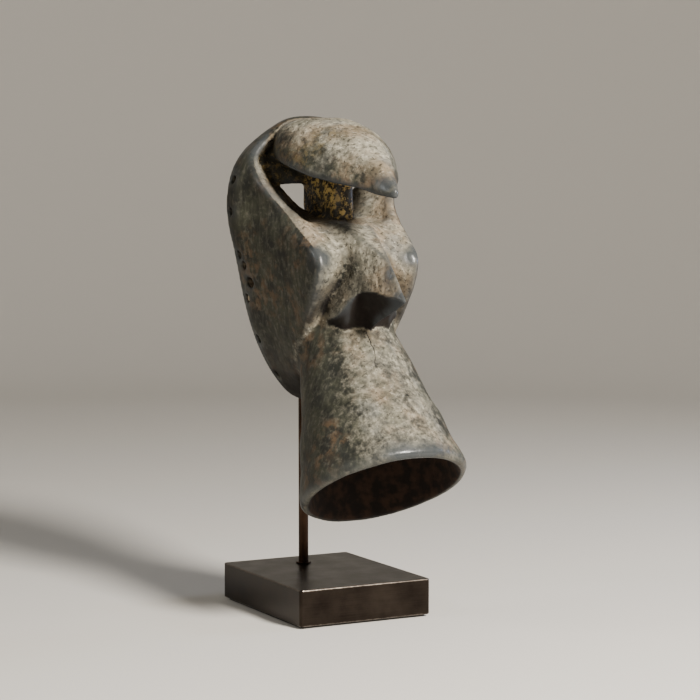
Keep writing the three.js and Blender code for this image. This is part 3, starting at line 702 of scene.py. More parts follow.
@dataclass(frozen=True)
class SmokedWood:
    """Dense tropical hardwood, carved with an adze and knife, smoked and handled, with a dried clay crust.

    The eye sees dark oily wood on the flanks, a dusty beige grey crust over the face, gold dust in the sockets and a
    slate-blue polish where hands and cloth have rubbed the crests. Shade is painted in too: hollows, undersides, the
    nose's crease, sockets under the brow and the sides of the brow and mouth are darker, the brow's top lighter.
    """

    dark: str = "#171812"
    olive: str = "#313226"
    brown: str = "#53422f"
    grey_crust: str = "#6f6b5f"
    pale_crust: str = "#9c9786"
    warm_crust: str = "#80694e"
    bright_crust: str = "#bdb8a9"
    slate: str = "#5f6568"
    ochre_dirt_shade: str = "#7d6338"
    gold: str = "#b89b58"
    gold_dark: str = "#2a2414"
    polish: str = "#3d4144"
    soot_and_underside_shade: str = "#120b07"
    crack: str = "#0d0a07"
    crust_grit: float = 2.1
    crust_patch: float = 9
    stain: float = 28
    tool_width: float = 2.6
    tool_length: float = 10
    ior: float = 1.5

    def build(self) -> bpy.types.Material:
        """Builds the wood's material."""
        material, tree, shader = blank("smoked_wood", self.ior)
        shader.inputs["Specular IOR Level"].default_value = 0.3
        mm = millimetres(tree)
        zone = {
            name: add(tree, Node.ZONE, attribute_name=name)
            for name in ("worn", "hollow_shade_and_dirt", "crust", "flank", "socket", "inside", "below", "funnel", "dust", "crevice")
        }

        grit = add(tree, Node.NOISE, mm, GRAIN / self.crust_grit, 4, 0.65)
        patch = add(tree, Node.NOISE, mm, GRAIN / self.crust_patch, 4, 0.6)
        stain = add(tree, Node.NOISE, mm, GRAIN / self.stain, 3, 0.55)
        fine = add(tree, Node.NOISE, mm, GRAIN / 0.9, 2, 0.6)
        mid = add(tree, Node.NOISE, mm, GRAIN / 4.0, 3, 0.6)
        marks_at = add(
            tree, Node.MAPPING, mm, (1 / self.tool_width, 1 / self.tool_width, 1 / self.tool_length),
            (0, 0.09, 0),
        )
        marks = add(tree, Node.NOISE, marks_at, 1.0, 3, 0.5)

        # Oily wood: dark olive, brown where the smoke has rubbed thin, streaked by the knife.
        wood = add(tree, Node.MIX, add(tree, Node.STEP, patch, 0.38, 0.62), self.dark, self.olive)
        wood = add(
            tree, Node.MIX,
            add(
                tree, Node.MULTIPLY, add(tree, Node.STEP, mid, 0.45, 0.62),
                add(tree, Node.STEP, stain, 0.44, 0.6),
            ),
            wood, self.brown,
        )
        wood = add(
            tree, Node.MIX, add(tree, Node.MULTIPLY, add(tree, Node.STEP, marks, 0.5, 0.68), 0.16), wood,
            self.grey_crust,
        )
        wood = add(
            tree, Node.MIX, add(tree, Node.MULTIPLY, add(tree, Node.STEP, marks, 0.48, 0.34), 0.3), wood,
            self.dark,
        )
        wood = add(
            tree, Node.MIX, add(tree, Node.MULTIPLY, add(tree, Node.STEP, grit, 0.5, 0.7), 0.3), wood,
            self.grey_crust,
        )
        wood = add(
            tree, Node.MIX, add(tree, Node.MULTIPLY, add(tree, Node.STEP, grit, 0.48, 0.32), 0.45), wood,
            self.dark,
        )

        # Crust: grey clay, paler on its high grains, warm where it is thin.
        crust = add(tree, Node.MIX, add(tree, Node.STEP, grit, 0.3, 0.7), self.grey_crust, self.pale_crust)
        crust = add(
            tree, Node.MIX, add(tree, Node.MULTIPLY, add(tree, Node.STEP, stain, 0.46, 0.62), 0.5), crust,
            self.warm_crust,
        )
        crust = add(
            tree, Node.MIX, add(tree, Node.MULTIPLY, add(tree, Node.STEP, patch, 0.46, 0.68), 0.6), crust,
            self.olive,
        )
        crust = add(
            tree, Node.MIX,
            add(
                tree, Node.MULTIPLY,
                add(tree, Node.STEP, add(tree, Node.NOISE, mm, GRAIN / 17, 3, 0.6), 0.5, 0.64), 0.4,
            ),
            crust, self.slate,
        )
        spots = add(tree, Node.STEP, add(tree, Node.NOISE, mm, GRAIN / 1.5, 4, 0.7), 0.55, 0.64)
        crust = add(tree, Node.MIX, add(tree, Node.MULTIPLY, spots, 0.7), crust, self.dark)
        crust = add(
            tree, Node.MIX,
            add(
                tree, Node.MULTIPLY,
                add(tree, Node.STEP, add(tree, Node.NOISE, mm, GRAIN / 1.9, 4, 0.7), 0.56, 0.66), 0.4,
            ),
            crust, self.bright_crust,
        )
        cover = add(
            tree, Node.MULTIPLY_ADD, grit, 0.35,
            add(tree, Node.MULTIPLY_ADD, patch, 0.55, add(tree, Node.MULTIPLY, mid, 0.35)),
        )
        cover = add(tree, Node.ADD, cover, add(tree, Node.MULTIPLY, zone["crust"], 0.75))
        cover = add(tree, Node.STEP, cover, 0.88, 1.3)
        cover = lessened(tree, cover, zone["inside"])
        polished = add(
            tree, Node.MULTIPLY, zone["worn"], add(tree, Node.STEP, patch, 0.25, 0.5, 0.35, 1.0),
            use_clamp=True,
        )
        cover = lessened(tree, cover, polished, 0.8)
        colour = add(tree, Node.MIX, cover, wood, crust)

        # Sockets: gold-brown dust in clots over almost black wood; the darkening is partly the wood's own colour and
        # partly painted shade, kept to the column, the near side and the skin under the brow.
        clot = add(
            tree, Node.STEP,
            add(
                tree, Node.ADD,
                add(tree, Node.MULTIPLY, add(tree, Node.NOISE, mm, GRAIN / 2.6, 4, 0.65), 0.7),
                add(tree, Node.MULTIPLY, fine, 0.35),
            ),
            0.51, 0.6,
        )
        dust = add(tree, Node.MIX, clot, self.gold_dark, self.gold)
        shaded = add(tree, Node.MULTIPLY, zone["socket"], add(tree, Node.STEP, patch, 0.35, 0.6, 0.45, 0.85))
        colour = add(
            tree, Node.MIX, shaded, colour,
            add(tree, Node.MIX, add(tree, Node.STEP, mid, 0.4, 0.6), self.dark, self.olive),
        )
        dusted = add(tree, Node.MULTIPLY, zone["dust"], add(tree, Node.STEP, patch, 0.3, 0.55, 0.45, 1.0))
        colour = add(tree, Node.MIX, dusted, colour, dust)
        # Painted shade in the crease beside the nose, broken up by the grit into dark pits.
        crease_shade = add(tree, Node.MULTIPLY, zone["crevice"], add(tree, Node.STEP, grit, 0.38, 0.58, 0.35, 1.0))
        colour = add(tree, Node.MIX, crease_shade, colour, self.dark)
        # Painted shade: skin facing down, under the brow and the nose, is darkened towards soot.
        under = add(tree, Node.MULTIPLY, zone["below"], add(tree, Node.STEP, mid, 0.3, 0.6, 0.85, 1.0))
        colour = add(tree, Node.MIX, under, colour, self.soot_and_underside_shade)

        # Hollows hold ochre dirt and painted shade, darkest where the skin is most sheltered; crests are rubbed to
        # slate.
        dirt_and_shade = add(
            tree, Node.MULTIPLY, add(tree, Node.STEP, zone["hollow_shade_and_dirt"], 0.25, 0.95),
            add(tree, Node.STEP, grit, 0.35, 0.6, 0.4, 0.9),
        )
        colour = add(
            tree, Node.MIX, add(tree, Node.MULTIPLY, dirt_and_shade, 0.55), colour, self.ochre_dirt_shade, blend_type="MULTIPLY"
        )
        colour = add(tree, Node.MIX, add(tree, Node.MULTIPLY, polished, 0.8), colour, self.polish)
        colour = add(
            tree, Node.MIX, zone["inside"], colour,
            add(tree, Node.MIX, add(tree, Node.STEP, mid, 0.4, 0.65), self.soot_and_underside_shade, "#2b1c12"),
        )

        # A drying crack down the upper neck, wandering by a millimetre or two.
        apart = add(tree, Node.SPLIT, mm).node.outputs
        wander = add(
            tree, Node.MULTIPLY, add(tree, Node.SUBTRACT, add(tree, Node.NOISE, mm, GRAIN / 9, 2, 0.5), 0.5),
            16.0,
        )
        line = add(tree, Node.ABSOLUTE, add(tree, Node.ADD, add(tree, Node.SUBTRACT, apart[0], wander), 5.0))
        crack = add(tree, Node.MULTIPLY, add(tree, Node.STEP, line, 0.42, 0.12), zone["funnel"])
        crack = add(
            tree, Node.MULTIPLY, crack,
            add(
                tree, Node.MULTIPLY, add(tree, Node.STEP, apart[2], 172, 180),
                add(tree, Node.STEP, apart[2], 203, 196),
            ),
        )
        colour = add(tree, Node.MIX, crack, colour, self.crack)

        rough = add(tree, Node.STEP, cover, 0, 1, 0.56, 0.92)
        rough = add(
            tree, Node.ADD, rough, add(tree, Node.MULTIPLY, add(tree, Node.SUBTRACT, mid, 0.5), 0.25)
        )
        rough = add(tree, Node.SUBTRACT, rough, add(tree, Node.MULTIPLY, polished, 0.34))
        rough = add(
            tree, Node.MAXIMUM, rough,
            add(tree, Node.MULTIPLY, add(tree, Node.MAXIMUM, zone["inside"], zone["below"]), 0.95),
        )
        rough = add(tree, Node.MAXIMUM, rough, 0.26, use_clamp=True)

        relief = add(
            tree, Node.MULTIPLY, add(tree, Node.ADD, grit, fine),
            add(tree, Node.MULTIPLY_ADD, cover, 0.32, 0.05),
        )
        relief = add(
            tree, Node.ADD, relief,
            add(tree, Node.MULTIPLY, mid, add(tree, Node.MULTIPLY_ADD, cover, 0.4, 0.1)),
        )
        relief = add(tree, Node.ADD, relief, add(tree, Node.MULTIPLY, marks, 0.22))
        relief = add(
            tree, Node.SUBTRACT, relief,
            add(tree, Node.MULTIPLY, spots, add(tree, Node.MULTIPLY, cover, 0.35)),
        )
        relief = add(
            tree, Node.ADD, relief,
            add(tree, Node.MULTIPLY, clot, add(tree, Node.MULTIPLY, zone["socket"], 0.5)),
        )
        relief = add(tree, Node.SUBTRACT, relief, add(tree, Node.MULTIPLY, crack, 1.2))
        relief = lessened(tree, relief, polished, 0.7)
        bump = add(tree, Node.BUMP, relief, MM, 0.85)
        return finished(material, tree, shader, colour, rough, bump)


@dataclass(frozen=True)
class BrushedSteel:
    """Mild steel, browned with a warm patina, fine-brushed and waxed: dark, with a satin bloom and bare edges."""

    name: str
    deep: str
    light: str
    bare: str = "#8a8178"
    rough: float = 0.38
    brush_width: float = 0.5
    brush_length: float = 30
    brush_axis: Axis = Axis.X
    edge_mm: float = 0.0
    edge_box: str = ""

    def build(self) -> bpy.types.Material:
        """Builds the steel's material."""
        material, tree, shader = blank(self.name, None)
        shader.inputs["Metallic"].default_value = 1.0
        mm = millimetres(tree)
        scale = [1 / self.brush_width] * 3
        scale[self.brush_axis.value] = 1 / self.brush_length
        brushed_at = add(tree, Node.MAPPING, mm, scale)
        brushed = add(tree, Node.NOISE, brushed_at, 1.0, 2)
        cloud = add(tree, Node.NOISE, mm, 1 / 22, 5, 0.6)
        spots = add(tree, Node.NOISE, mm, 1 / 2.2, 2)
        mixed = add(tree, Node.MULTIPLY_ADD, brushed, 0.3, cloud)
        tone = add(tree, Node.RANGE, mixed, 0.42, 0.88)
        colour = add(tree, Node.MIX, tone, self.deep, self.light)
        if self.edge_box:
            colour = self.bare_edges(tree, mm, spots, colour)
        rough = add(tree, Node.RANGE, mixed, 0.3, 0.95, self.rough - 0.06, self.rough + 0.12)
        height = add(tree, Node.MULTIPLY_ADD, spots, 0.35, brushed)
        bump = add(tree, Node.BUMP, height, 0.04 * MM, 0.5)
        return finished(material, tree, shader, colour, rough, bump)

    def bare_edges(self, tree: bpy.types.NodeTree, mm: Any, spots: Any, colour: Any) -> Any:
        """Lightens the colour within a millimetre or so of a slab's edges.

        Args:
            tree: the material's tree.
            mm: the place in millimetres.
            spots: a speckle that breaks the wear up.
            colour: the colour so far.

        Returns:
            The colour with its edges worn.
        """
        low, high = (np.array(corner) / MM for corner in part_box(self.edge_box))
        moved = add(tree, Node.MOVED, mm, (low + high) / 2)
        folded = add(tree, Node.FOLDED, moved)
        inset = add(tree, Node.MOVED, (high - low) / 2, folded)
        x, y, z = add(tree, Node.SPLIT, inset).node.outputs
        largest = add(tree, Node.MAXIMUM, x, y)
        largest = add(tree, Node.MAXIMUM, largest, z)
        total = add(tree, Node.ADD, x, y)
        total = add(tree, Node.ADD, total, z)
        near = add(tree, Node.SUBTRACT, total, largest)
        ragged = add(tree, Node.MULTIPLY_ADD, spots, self.edge_mm, near)
        share = add(tree, Node.RANGE, ragged, self.edge_mm * 0.9, self.edge_mm * 1.7, 0.75, 0.0)
        return add(tree, Node.MIX, share, colour, self.bare)


@dataclass(frozen=True)
class WoolFelt:
    """Pressed wool felt: matt black-brown with paler loose fibres."""

    deep: str = "#171514"
    light: str = "#35312d"
    fibre: float = 0.35

    def build(self) -> bpy.types.Material:
        """Builds the felt's material. The fibres are drawn a few times too coarse so that they show."""
        material, tree, shader = blank("wool_felt", 1.5)
        mm = millimetres(tree)
        hairs = add(tree, Node.NOISE, mm, 0.5 / self.fibre, 4, 0.5, 2.0)
        tone = add(tree, Node.RANGE, hairs, 0.35, 0.7)
        colour = add(tree, Node.MIX, tone, self.deep, self.light)
        rough = add(tree, Node.RANGE, hairs, 0.3, 0.7, 0.88, 1.0)
        shader.inputs["Sheen Weight"].default_value = 0.25
        shader.inputs["Sheen Roughness"].default_value = 0.6
        bump = add(tree, Node.BUMP, hairs, 0.25 * MM, 0.8)
        return finished(material, tree, shader, colour, rough, bump)


@dataclass(frozen=True)
class SiliconeTube:
    """Translucent silicone tubing, slightly yellowed, with dust on its skin."""

    clear: str = "#cbc3b0"
    yellowed: str = "#a99a78"

    def build(self) -> bpy.types.Material:
        """Builds the tubing's material."""
        material, tree, shader = blank("silicone_tube", 1.41)
        mm = millimetres(tree)
        dust = add(tree, Node.NOISE, mm, 1 / 1.4, 4)
        colour = add(tree, Node.MIX, dust, self.clear, self.yellowed)
        rough = add(tree, Node.RANGE, dust, 0.3, 0.7, 0.4, 0.65)
        shader.inputs["Subsurface Weight"].default_value = 0.15
        shader.inputs["Subsurface Scale"].default_value = MM
        bump = add(tree, Node.BUMP, dust, 0.08 * MM, 0.4)
        return finished(material, tree, shader, colour, rough, bump)


def blank(name: str, ior: float | None) -> tuple[bpy.types.Material, bpy.types.NodeTree, bpy.types.Node]:
    """Starts a material.

    Args:
        name: the material's name.
        ior: its refractive index, or None for a metal, which keeps the default.

    Returns:
        The material, its tree and its shader.
    """
    material = bpy.data.materials.new(name)
    material.use_nodes = True
    shader = material.node_tree.nodes["Principled BSDF"]
    if ior is not None:
        shader.inputs["IOR"].default_value = ior
    return material, material.node_tree, shader


def finished(
    material: bpy.types.Material,
    tree: bpy.types.NodeTree,
    shader: bpy.types.Node,
    colour: bpy.types.NodeSocket,
    rough: bpy.types.NodeSocket,
    normal: bpy.types.NodeSocket,
) -> bpy.types.Material:
    """Feeds a material's colour, roughness and bump to its shader."""
    for name, socket in (("Base Color", colour), ("Roughness", rough), ("Normal", normal)):
        tree.links.new(socket, shader.inputs[name])
    return material


# ---------------------------------------------------------------- mesh making


def eased_profile(corners: Profile, radius: float, steps: int = 3) -> list[tuple[float, float]]:
    """Rounds the corners of a closed profile.

    Args:
        corners: (radius, height) corners in order.
        radius: how far each corner is cut back, in millimetres.
        steps: points on each rounded corner, less one.

    Returns:
        The rounded profile.
    """
    drawn: list[tuple[float, float]] = []
    ring = [Vector(c) for c in corners]
    for n, corner in enumerate(ring):
        if corner.x < 1e-6:
            drawn.append((corner.x, corner.y))
            continue
        before, after = ring[n - 1], ring[(n + 1) % len(ring)]
        back = min(radius, (before - corner).length * 0.45)
        on = min(radius, (after - corner).length * 0.45)
        start = corner + (before - corner).normalized() * back
        end = corner + (after - corner).normalized() * on
        for k in range(steps + 1):
            t = k / steps
            point = start * (1 - t) ** 2 + corner * 2 * t * (1 - t) + end * t * t
            drawn.append((max(point.x, 0.0), point.y))
    return drawn


def mesh_object(name: str, points: Iterable[Sequence[float]], faces: Iterable[Sequence[int]]) -> bpy.types.Object:
    """Makes a smooth-shaded object from millimetre points, with its faces turned outwards."""
    mesh = bpy.data.meshes.new(name)
    mesh.from_pydata([tuple(c * MM for c in p) for p in points], [], [tuple(f) for f in faces])
    shape = bmesh.new()
    shape.from_mesh(mesh)
    bmesh.ops.remove_doubles(shape, verts=shape.verts, dist=1e-7)
    bmesh.ops.recalc_face_normals(shape, faces=shape.faces)
    for face in shape.faces:
        face.smooth = True
    shape.to_mesh(mesh)
    shape.free()
    made = bpy.data.objects.new(name, mesh)
    bpy.context.scene.collection.objects.link(made)
    sharp_at(made, 38)
    return made


def sharp_at(piece: bpy.types.Object, degrees: float) -> None:
    """Marks the edges of a piece that turn by more than an angle as sharp."""
    shape = bmesh.new()
    shape.from_mesh(piece.data)
    for edge in shape.edges:
        edge.smooth = edge.calc_face_angle(0) < math.radians(degrees)
    shape.to_mesh(piece.data)
    shape.free()


def turned(
    name: str,
    profile: Profile,
    centre: Sequence[float],
    axis: Axis = Axis.Z,
    flip: bool = False,
    hex_points: Iterable[int] = (),
    sides: int = 48,
) -> bpy.types.Object:
    """Spins a closed profile about an axis.

    Args:
        name: the piece's name.
        profile: (radius, distance along the axis) corners in order.
        centre: the point on the axis where the distance is nought, in millimetres.
        axis: the axis that it spins about.
        flip: whether distances run the other way.
        hex_points: numbers of the profile's points that follow a hexagon, as in a key socket.
        sides: faces round the piece.

    Returns:
        The piece.
    """
    keyed = set(hex_points)
    points, faces = [], []
    order = {Axis.X: (2, 0, 1), Axis.Y: (0, 2, 1), Axis.Z: (0, 1, 2)}[axis]
    for n, (radius, along) in enumerate(profile):
        for k in range(sides):
            turn = 2 * math.pi * k / sides
            r = radius
            if n in keyed:
                r = radius / math.cos((turn % (math.pi / 3)) - math.pi / 6)
            raw = (r * math.cos(turn), r * math.sin(turn), -along if flip else along)
            points.append([raw[order[i]] + centre[i] for i in range(3)])
    count = len(profile)
    for n in range(count):
        m = (n + 1) % count
        for k in range(sides):
            j = (k + 1) % sides
            faces.append((n * sides + k, n * sides + j, m * sides + j, m * sides + k))
    return mesh_object(name, points, [f for f in faces if len(set(f)) > 2])


def wire(name: str, path: Sequence[Vector], radius: float, sides: int = 20) -> bpy.types.Object:
    """Sweeps a round wire along a path, with domed ends.

    Args:
        name: the piece's name.
        path: points on the wire's middle, in millimetres.
        radius: half the wire's thickness.
        sides: faces round the wire.

    Returns:
        The wire.
    """
    first = (path[1] - path[0]).normalized()
    last = (path[-1] - path[-2]).normalized()
    dome = [(0.02, 0.0), (0.6, 0.12), (0.9, 0.4), (1.0, 0.8)]
    rings = [(path[0] + first * radius * a * 0.6, first, radius * r) for r, a in dome]
    for n in range(1, len(path) - 1):
        heading = (path[n + 1] - path[n - 1]).normalized()
        rings.append((path[n], heading, radius))
    rings += [(path[-1] - last * radius * a * 0.6, last, radius * r) for r, a in reversed(dome)]
    points, faces = [], []
    up = Vector((0, 0, 1))
    for middle, heading, r in rings:
        side = heading.cross(up).normalized()
        over = side.cross(heading).normalized()
        for k in range(sides):
            turn = 2 * math.pi * k / sides
            points.append(middle + (side * math.cos(turn) + over * math.sin(turn)) * r)
    for n in range(len(rings) - 1):
        for k in range(sides):
            j = (k + 1) % sides
            faces.append((n * sides + k, n * sides + j, (n + 1) * sides + j, (n + 1) * sides + k))
    faces.append(tuple(range(sides)))
    faces.append(tuple(range((len(rings) - 1) * sides, len(rings) * sides)))
    return mesh_object(name, points, faces)


def bend(a: Vector, corner: Vector, b: Vector, steps: int = 7) -> list[Vector]:
    """Points round a bend from a to b about a corner."""
    shares = [k / steps for k in range(steps + 1)]
    return [a * (1 - t) ** 2 + corner * 2 * t * (1 - t) + b * t * t for t in shares]


def node_box(node: str) -> tuple[Vector, Vector, Vector]:
    """A node's lowest corner, highest corner and middle, in millimetres."""
    low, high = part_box(node)
    return low / MM, high / MM, (low + high) / (2 * MM)


@dataclass
class Workshop:
    """Keeps the finishes, and hands each piece its finish, body, slot and node."""

    finishes: dict[Slot, bpy.types.Material] = field(default_factory=dict)

    def dress(self, piece: bpy.types.Object, slot: Slot, body: Body, *nodes: str) -> bpy.types.Object:
        """Finishes a new piece and puts it on its body in place of its nodes."""
        piece.data.materials.clear()
        piece.data.materials.append(self.finishes[slot])
        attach(piece, body.value)
        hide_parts(*nodes)
        LOG.info("%s rides on %s", piece.name, body.value)
        return piece

    def keep(self, frame: dict[str, Any], node: str, slot: Slot, ease_mm: float = 0.0) -> None:
        """Keeps a node's own shape, with a better finish and its machined edges just broken."""
        piece = frame["nodes"][node]
        piece.data.materials.clear()
        piece.data.materials.append(self.finishes[slot])
        if ease_mm:
            broken = piece.modifiers.new("broken_edges", "BEVEL")
            broken.width = ease_mm * MM
            broken.segments = 3
            broken.limit_method = "ANGLE"
            broken.angle_limit = math.radians(35)
        LOG.info("%s keeps its shape", node)


# ---------------------------------------------------------------- the stand


@dataclass
class Stand:
    """The slab, its felt, and the post with its collar."""

    felt_corner: float = 3.0
    ring_bore: float = 7.3
    post_bore: float = 5.6
    post_plug: float = 90

    def build(self, frame: dict[str, Any], shop: Workshop) -> None:
        """Builds the stand's pieces."""
        shop.keep(frame, "base_plate", Slot.BASE, 0.35)
        shop.keep(frame, "bolt_washer", Slot.SCREW)
        shop.keep(frame, "post_bolt", Slot.SCREW)
        shop.dress(self.felt(), Slot.FELT, Body.STAND, "base_felt")
        low, high, mid = node_box("post")
        outer, inner = (high.y - low.y) / 2, self.post_bore / 2
        at = (mid.x, mid.y, 0)
        shaft = [(outer, low.z), (outer, high.z), (inner, high.z), (inner, low.z + self.post_plug)]
        shaft += [(0, low.z + self.post_plug), (0, low.z)]
        shop.dress(turned("post_rod", eased_profile(shaft, 0.35), at), Slot.ROD, Body.STAND, "post")
        for node, bore, r in (("post_ring", self.ring_bore / 2, 0.3), ("lock_collar", self.ring_bore / 2, 0.6)):
            low, high, mid = node_box(node)
            outer = (high.y - low.y) / 2
            ring = [(outer, low.z), (outer, high.z), (bore, high.z), (bore, low.z)]
            name = {"post_ring": "post_foot_ring", "lock_collar": "post_collar"}[node]
            shop.dress(turned(name, eased_profile(ring, r), at), Slot.ROD, Body.STAND, node)
        shop.dress(grub_screw("collar_grub", "collar_screw"), Slot.SCREW, Body.STAND, "collar_screw")

    def felt(self) -> bpy.types.Object:
        """The felt under the slab: a thin sheet with clipped round corners and soft edges."""
        low, high, _ = node_box("base_felt")
        outline = []
        for sx, sy, start in ((1, 1, 0), (-1, 1, 90), (-1, -1, 180), (1, -1, 270)):
            cx = (high.x if sx > 0 else low.x) - sx * self.felt_corner
            cy = (high.y if sy > 0 else low.y) - sy * self.felt_corner
            for k in range(7):
                a = math.radians(start + 15 * k)
                outline.append((cx, cy, self.felt_corner * math.cos(a), self.felt_corner * math.sin(a)))
        layers = [(low.z, 0.86), (low.z + 0.15, 0.98), (high.z - 0.15, 1.0), (high.z, 0.9)]
        points = [(cx + ax * s, cy + ay * s, z) for z, s in layers for cx, cy, ax, ay in outline]
        count = len(outline)
        faces = [
            (n * count + k, n * count + (k + 1) % count, (n + 1) * count + (k + 1) % count, (n + 1) * count + k)
            for n in range(len(layers) - 1)
            for k in range(count)
        ]
        faces += [tuple(range(count)), tuple(range((len(layers) - 1) * count, len(layers) * count))]
        return mesh_object("base_felt_pad", points, faces)


def grub_screw(name: str, node: str) -> bpy.types.Object:
    """A socketed grub screw that points along -Y, made to fit its node's box."""
    low, high, mid = node_box(node)
    r, length = (high.x - low.x) / 2, high.y - low.y
    key = r * 0.45
    profile = [(0, 0), (r * 0.55, 0), (r, 0.35), (r, length - 0.25), (r * 0.88, length), (key, length)]
    profile += [(key, length * 0.6), (0, length * 0.6)]
    return turned(name, profile, (mid.x, low.y, mid.z), Axis.Y, hex_points=(5, 6), sides=36)


# ---------------------------------------------------------------- the stem and the armature


@dataclass
class Stem:
    """The turning stem and its stop ring."""

    ring_bore: float = 5.3

    def build(self, shop: Workshop) -> None:
        """Builds the stem's pieces."""
        low, high, mid = node_box("stem")
        at = (mid.x, mid.y, 0)
        r = (high.y - low.y) / 2
        rod = [(0, low.z), (r, low.z), (r, high.z), (0, high.z)]
        shop.dress(turned("stem_rod", eased_profile(rod, 0.6), at), Slot.ROD, Body.STEM, "stem")
        low, high, _ = node_box("stop_ring")
        r = (high.y - low.y) / 2
        ring = [(r, low.z), (r, high.z), (self.ring_bore / 2, high.z), (self.ring_bore / 2, low.z)]
        shop.dress(turned("stem_stop_ring", eased_profile(ring, 0.5), at), Slot.ROD, Body.STEM, "stop_ring")


@dataclass
class Armature:
    """The blocks, arms and stay that carry the mask, and the prongs that hold it."""

    arm_bore: float = 3.2
    prong_radius: float = 1.3
    prong_bend: float = 3.0
    sleeve_bore: float = 2.9
    pad_dome: float = 0.25

    def build(self, frame: dict[str, Any], shop: Workshop) -> None:
        """Builds the armature's pieces."""
        for node in ("upper_block", "stay_block"):
            shop.keep(frame, node, Slot.ROD, 0.45)
        for name, node in (("upper_block_grub", "upper_block_screw"), ("stay_block_grub", "stay_block_screw")):
            shop.dress(grub_screw(name, node), Slot.SCREW, Body.ARMATURE, node)
        low, high, mid = node_box("chin_stay")
        r, length = (high.x - low.x) / 2, high.y - low.y
        stay = [(0, 0), (r, 0), (r, length), (0, length)]
        shop.dress(
            turned("chin_stay_rod", eased_profile(stay, 0.4), (mid.x, low.y, mid.z), Axis.Y),
            Slot.ROD, Body.ARMATURE, "chin_stay",
        )
        low, high, mid = node_box("stay_pad")
        r, length = (high.x - low.x) / 2, high.y - low.y
        pad = [(0, 0), (r - 0.4, self.pad_dome), (r, 0.7), (r, length - 0.5), (r - 0.4, length), (0, length)]
        shop_pad = turned("stay_felt_pad", eased_profile(pad, 0.3), (mid.x, low.y, mid.z), Axis.Y)
        shop.dress(shop_pad, Slot.FELT, Body.ARMATURE, "stay_pad")
        for hand, side, body in (("right", -1, Body.PRONG_RIGHT), ("left", 1, Body.PRONG_LEFT)):
            self.build_arm(shop, hand)
            self.build_prong(shop, hand, side, body)

    def build_arm(self, shop: Workshop, hand: str) -> None:
        """Builds one side arm and its screw."""
        low, high, mid = node_box(f"side_arm_{hand}")
        outer, bore = (high.z - low.z) / 2, self.arm_bore / 2
        half = (high.x - low.x) / 2
        tube = [(outer, -half), (outer, half), (bore, half), (bore, -half)]
        shop.dress(
            turned(f"arm_tube_{hand}", eased_profile(tube, 0.4), tuple(mid), Axis.X),
            Slot.ROD, Body.ARMATURE, f"side_arm_{hand}",
        )
        shop.dress(grub_screw(f"arm_grub_{hand}", f"arm_screw_{hand}"), Slot.SCREW, Body.ARMATURE, f"arm_screw_{hand}")

    def build_prong(self, shop: Workshop, hand: str, side: int, body: Body) -> None:
        """Builds one bent prong and the sleeve on its tip."""
        low, high, mid = node_box(f"prong_{hand}")
        r, turn = self.prong_radius, self.prong_bend
        inner, tip = (high.x, low.x) if side < 0 else (low.x, high.x)
        back, front = high.y - r, low.y + r
        sleeve_low, sleeve_high, sleeve_mid = node_box(f"prong_sleeve_{hand}")
        sleeve_start = sleeve_high.x if side < 0 else sleeve_low.x
        jog = sleeve_start - side * (turn + 0.6)
        z = mid.z
        path = [Vector((inner, back, z))]
        path += bend(Vector((jog - side * turn, back, z)), Vector((jog, back, z)), Vector((jog, back - turn, z)))
        path += bend(Vector((jog, front + turn, z)), Vector((jog, front, z)), Vector((jog + side * turn, front, z)))
        path.append(Vector((tip, front, z)))
        shop.dress(wire(f"prong_wire_{hand}", path, r), Slot.ROD, body, f"prong_{hand}")
        outer, half = (sleeve_high.z - sleeve_low.z) / 2, (sleeve_high.x - sleeve_low.x) / 2
        bore = self.sleeve_bore / 2
        tube = [(outer, -half), (outer, half), (bore, half), (bore, -half)]
        shop.dress(
            turned(f"prong_tube_{hand}", eased_profile(tube, 0.25), tuple(sleeve_mid), Axis.X, sides=32),
            Slot.SLEEVE, body, f"prong_sleeve_{hand}",
        )


# ---------------------------------------------------------------- the studio


@dataclass
class Softbox:
    """One soft light: where it stands as seen from the mask, its size and its strength."""

    name: str
    azimuth: float
    height: float
    distance: float
    size: float
    watts: float
    colour: str
    aim_z: float = 0.2

    def place(self) -> None:
        """Puts the light in the scene."""
        lamp = bpy.data.lights.new(self.name, "AREA")
        lamp.shape = "DISK"
        lamp.size = self.size
        lamp.energy = self.watts
        lamp.color = linear(self.colour)[:3]
        stand = bpy.data.objects.new(self.name, lamp)
        bpy.context.scene.collection.objects.link(stand)
        a = math.radians(self.azimuth)
        stand.location = (math.sin(a) * self.distance, -math.cos(a) * self.distance, self.height)
        aim = Vector((0, 0, self.aim_z)) - stand.location
        stand.rotation_euler = aim.to_track_quat("-Z", "Y").to_euler()


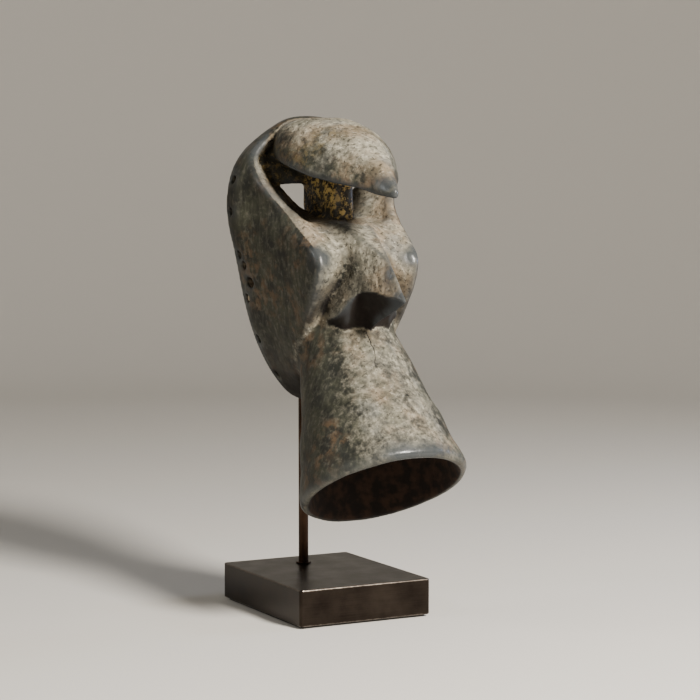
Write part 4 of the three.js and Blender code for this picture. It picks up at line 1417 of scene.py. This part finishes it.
@dataclass
class Studio:
    """A plain pale sweep, soft lights, and the camera."""

    azimuth: float = -27.7
    elevation: float = 4.25
    distance: float = 1.5
    aim: tuple[float, float, float] = (0.0158, -0.0083, 0.18225)
    lens_mm: float = 110.2
    sensor_mm: float = 36
    floor_code: str = "#cfccc6"
    sky_code: str = "#dad8d2"
    sky_strength: float = 0.16
    lights: Sequence[Softbox] = (
        Softbox("key_light", 12, 0.98, 1.25, 0.34, 62, "#fff8ee"),
        Softbox("side_light", -95, 0.8, 1.1, 0.2, 2.6, "#eef0f0"),
        Softbox("cool_far_light", 78, 0.45, 1.15, 0.25, 4, "#d6e2ff"),
    )

    def build(self) -> None:
        """Builds the studio."""
        self.sweep()
        for light in self.lights:
            light.place()
        world = bpy.data.worlds.new("studio_air")
        world.use_nodes = True
        air = world.node_tree.nodes["Background"]
        air.inputs["Color"].default_value = linear(self.sky_code)
        air.inputs["Strength"].default_value = self.sky_strength
        bpy.context.scene.world = world
        a, e = math.radians(self.azimuth), math.radians(self.elevation)
        back = Vector((math.sin(a) * math.cos(e), -math.cos(a) * math.cos(e), math.sin(e)))
        right = Vector((math.cos(a), math.sin(a), 0))
        over = back.cross(right)
        lens = bpy.data.cameras.new("camera")
        lens.lens = self.lens_mm
        lens.sensor_width = self.sensor_mm
        lens.clip_start = 0.05
        camera = bpy.data.objects.new("camera", lens)
        bpy.context.scene.collection.objects.link(camera)
        turn = Matrix((right, over, back)).transposed().to_4x4()
        camera.matrix_world = Matrix.Translation(Vector(self.aim) + back * self.distance) @ turn
        bpy.context.scene.camera = camera

    def sweep(self) -> None:
        """A round, seamless floor that curves up into a wall on all sides."""
        profile = [(0, 0), (1.6, 0)]
        profile += [(1.6 + 1.0 * math.sin(a), 1.0 - 1.0 * math.cos(a)) for a in np.radians(np.arange(6, 91, 6))]
        profile.append((2.6, 3.2))
        sides = 96
        points, faces = [], []
        for radius, height in profile:
            for k in range(sides):
                turn = 2 * math.pi * k / sides
                points.append((radius * math.cos(turn) / MM, radius * math.sin(turn) / MM, height / MM))
        for n in range(len(profile) - 1):
            for k in range(sides):
                j = (k + 1) % sides
                faces.append((n * sides + k, n * sides + j, (n + 1) * sides + j, (n + 1) * sides + k))
        floor = mesh_object("studio_floor", points, faces)
        material, _, shader = blank("matt_paper", 1.5)
        shader.inputs["Base Color"].default_value = linear(self.floor_code)
        shader.inputs["Roughness"].default_value = 0.85
        floor.data.materials.append(material)


# ---------------------------------------------------------------- everything in order


def main() -> None:
    """Builds the stand, the armature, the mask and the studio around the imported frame."""
    logging.basicConfig(level=logging.INFO, format="%(message)s")
    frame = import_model()
    shop = Workshop()
    shop.finishes = {
        Slot.WOOD: SmokedWood().build(),
        Slot.BASE: BrushedSteel(
            "browned_slab_steel", "#201b18", "#3a332d", rough=0.3, edge_mm=0.9, edge_box="base_plate"
        ).build(),
        Slot.ROD: BrushedSteel(
            "browned_rod_steel", "#2a1e17", "#4a382c", rough=0.36, brush_axis=Axis.Z, brush_length=12
        ).build(),
        Slot.SCREW: BrushedSteel(
            "blackened_screw_steel", "#2c2a28", "#57534e", rough=0.32, brush_length=2
        ).build(),
        Slot.FELT: WoolFelt().build(),
        Slot.SLEEVE: SiliconeTube().build(),
    }
    Stand().build(frame, shop)
    Stem().build(shop)
    Armature().build(frame, shop)
    shop.dress(CarvedMask().build(), Slot.WOOD, Body.ARMATURE, "mask_body")
    Studio().build()


if __name__ == "__main__":
    main()
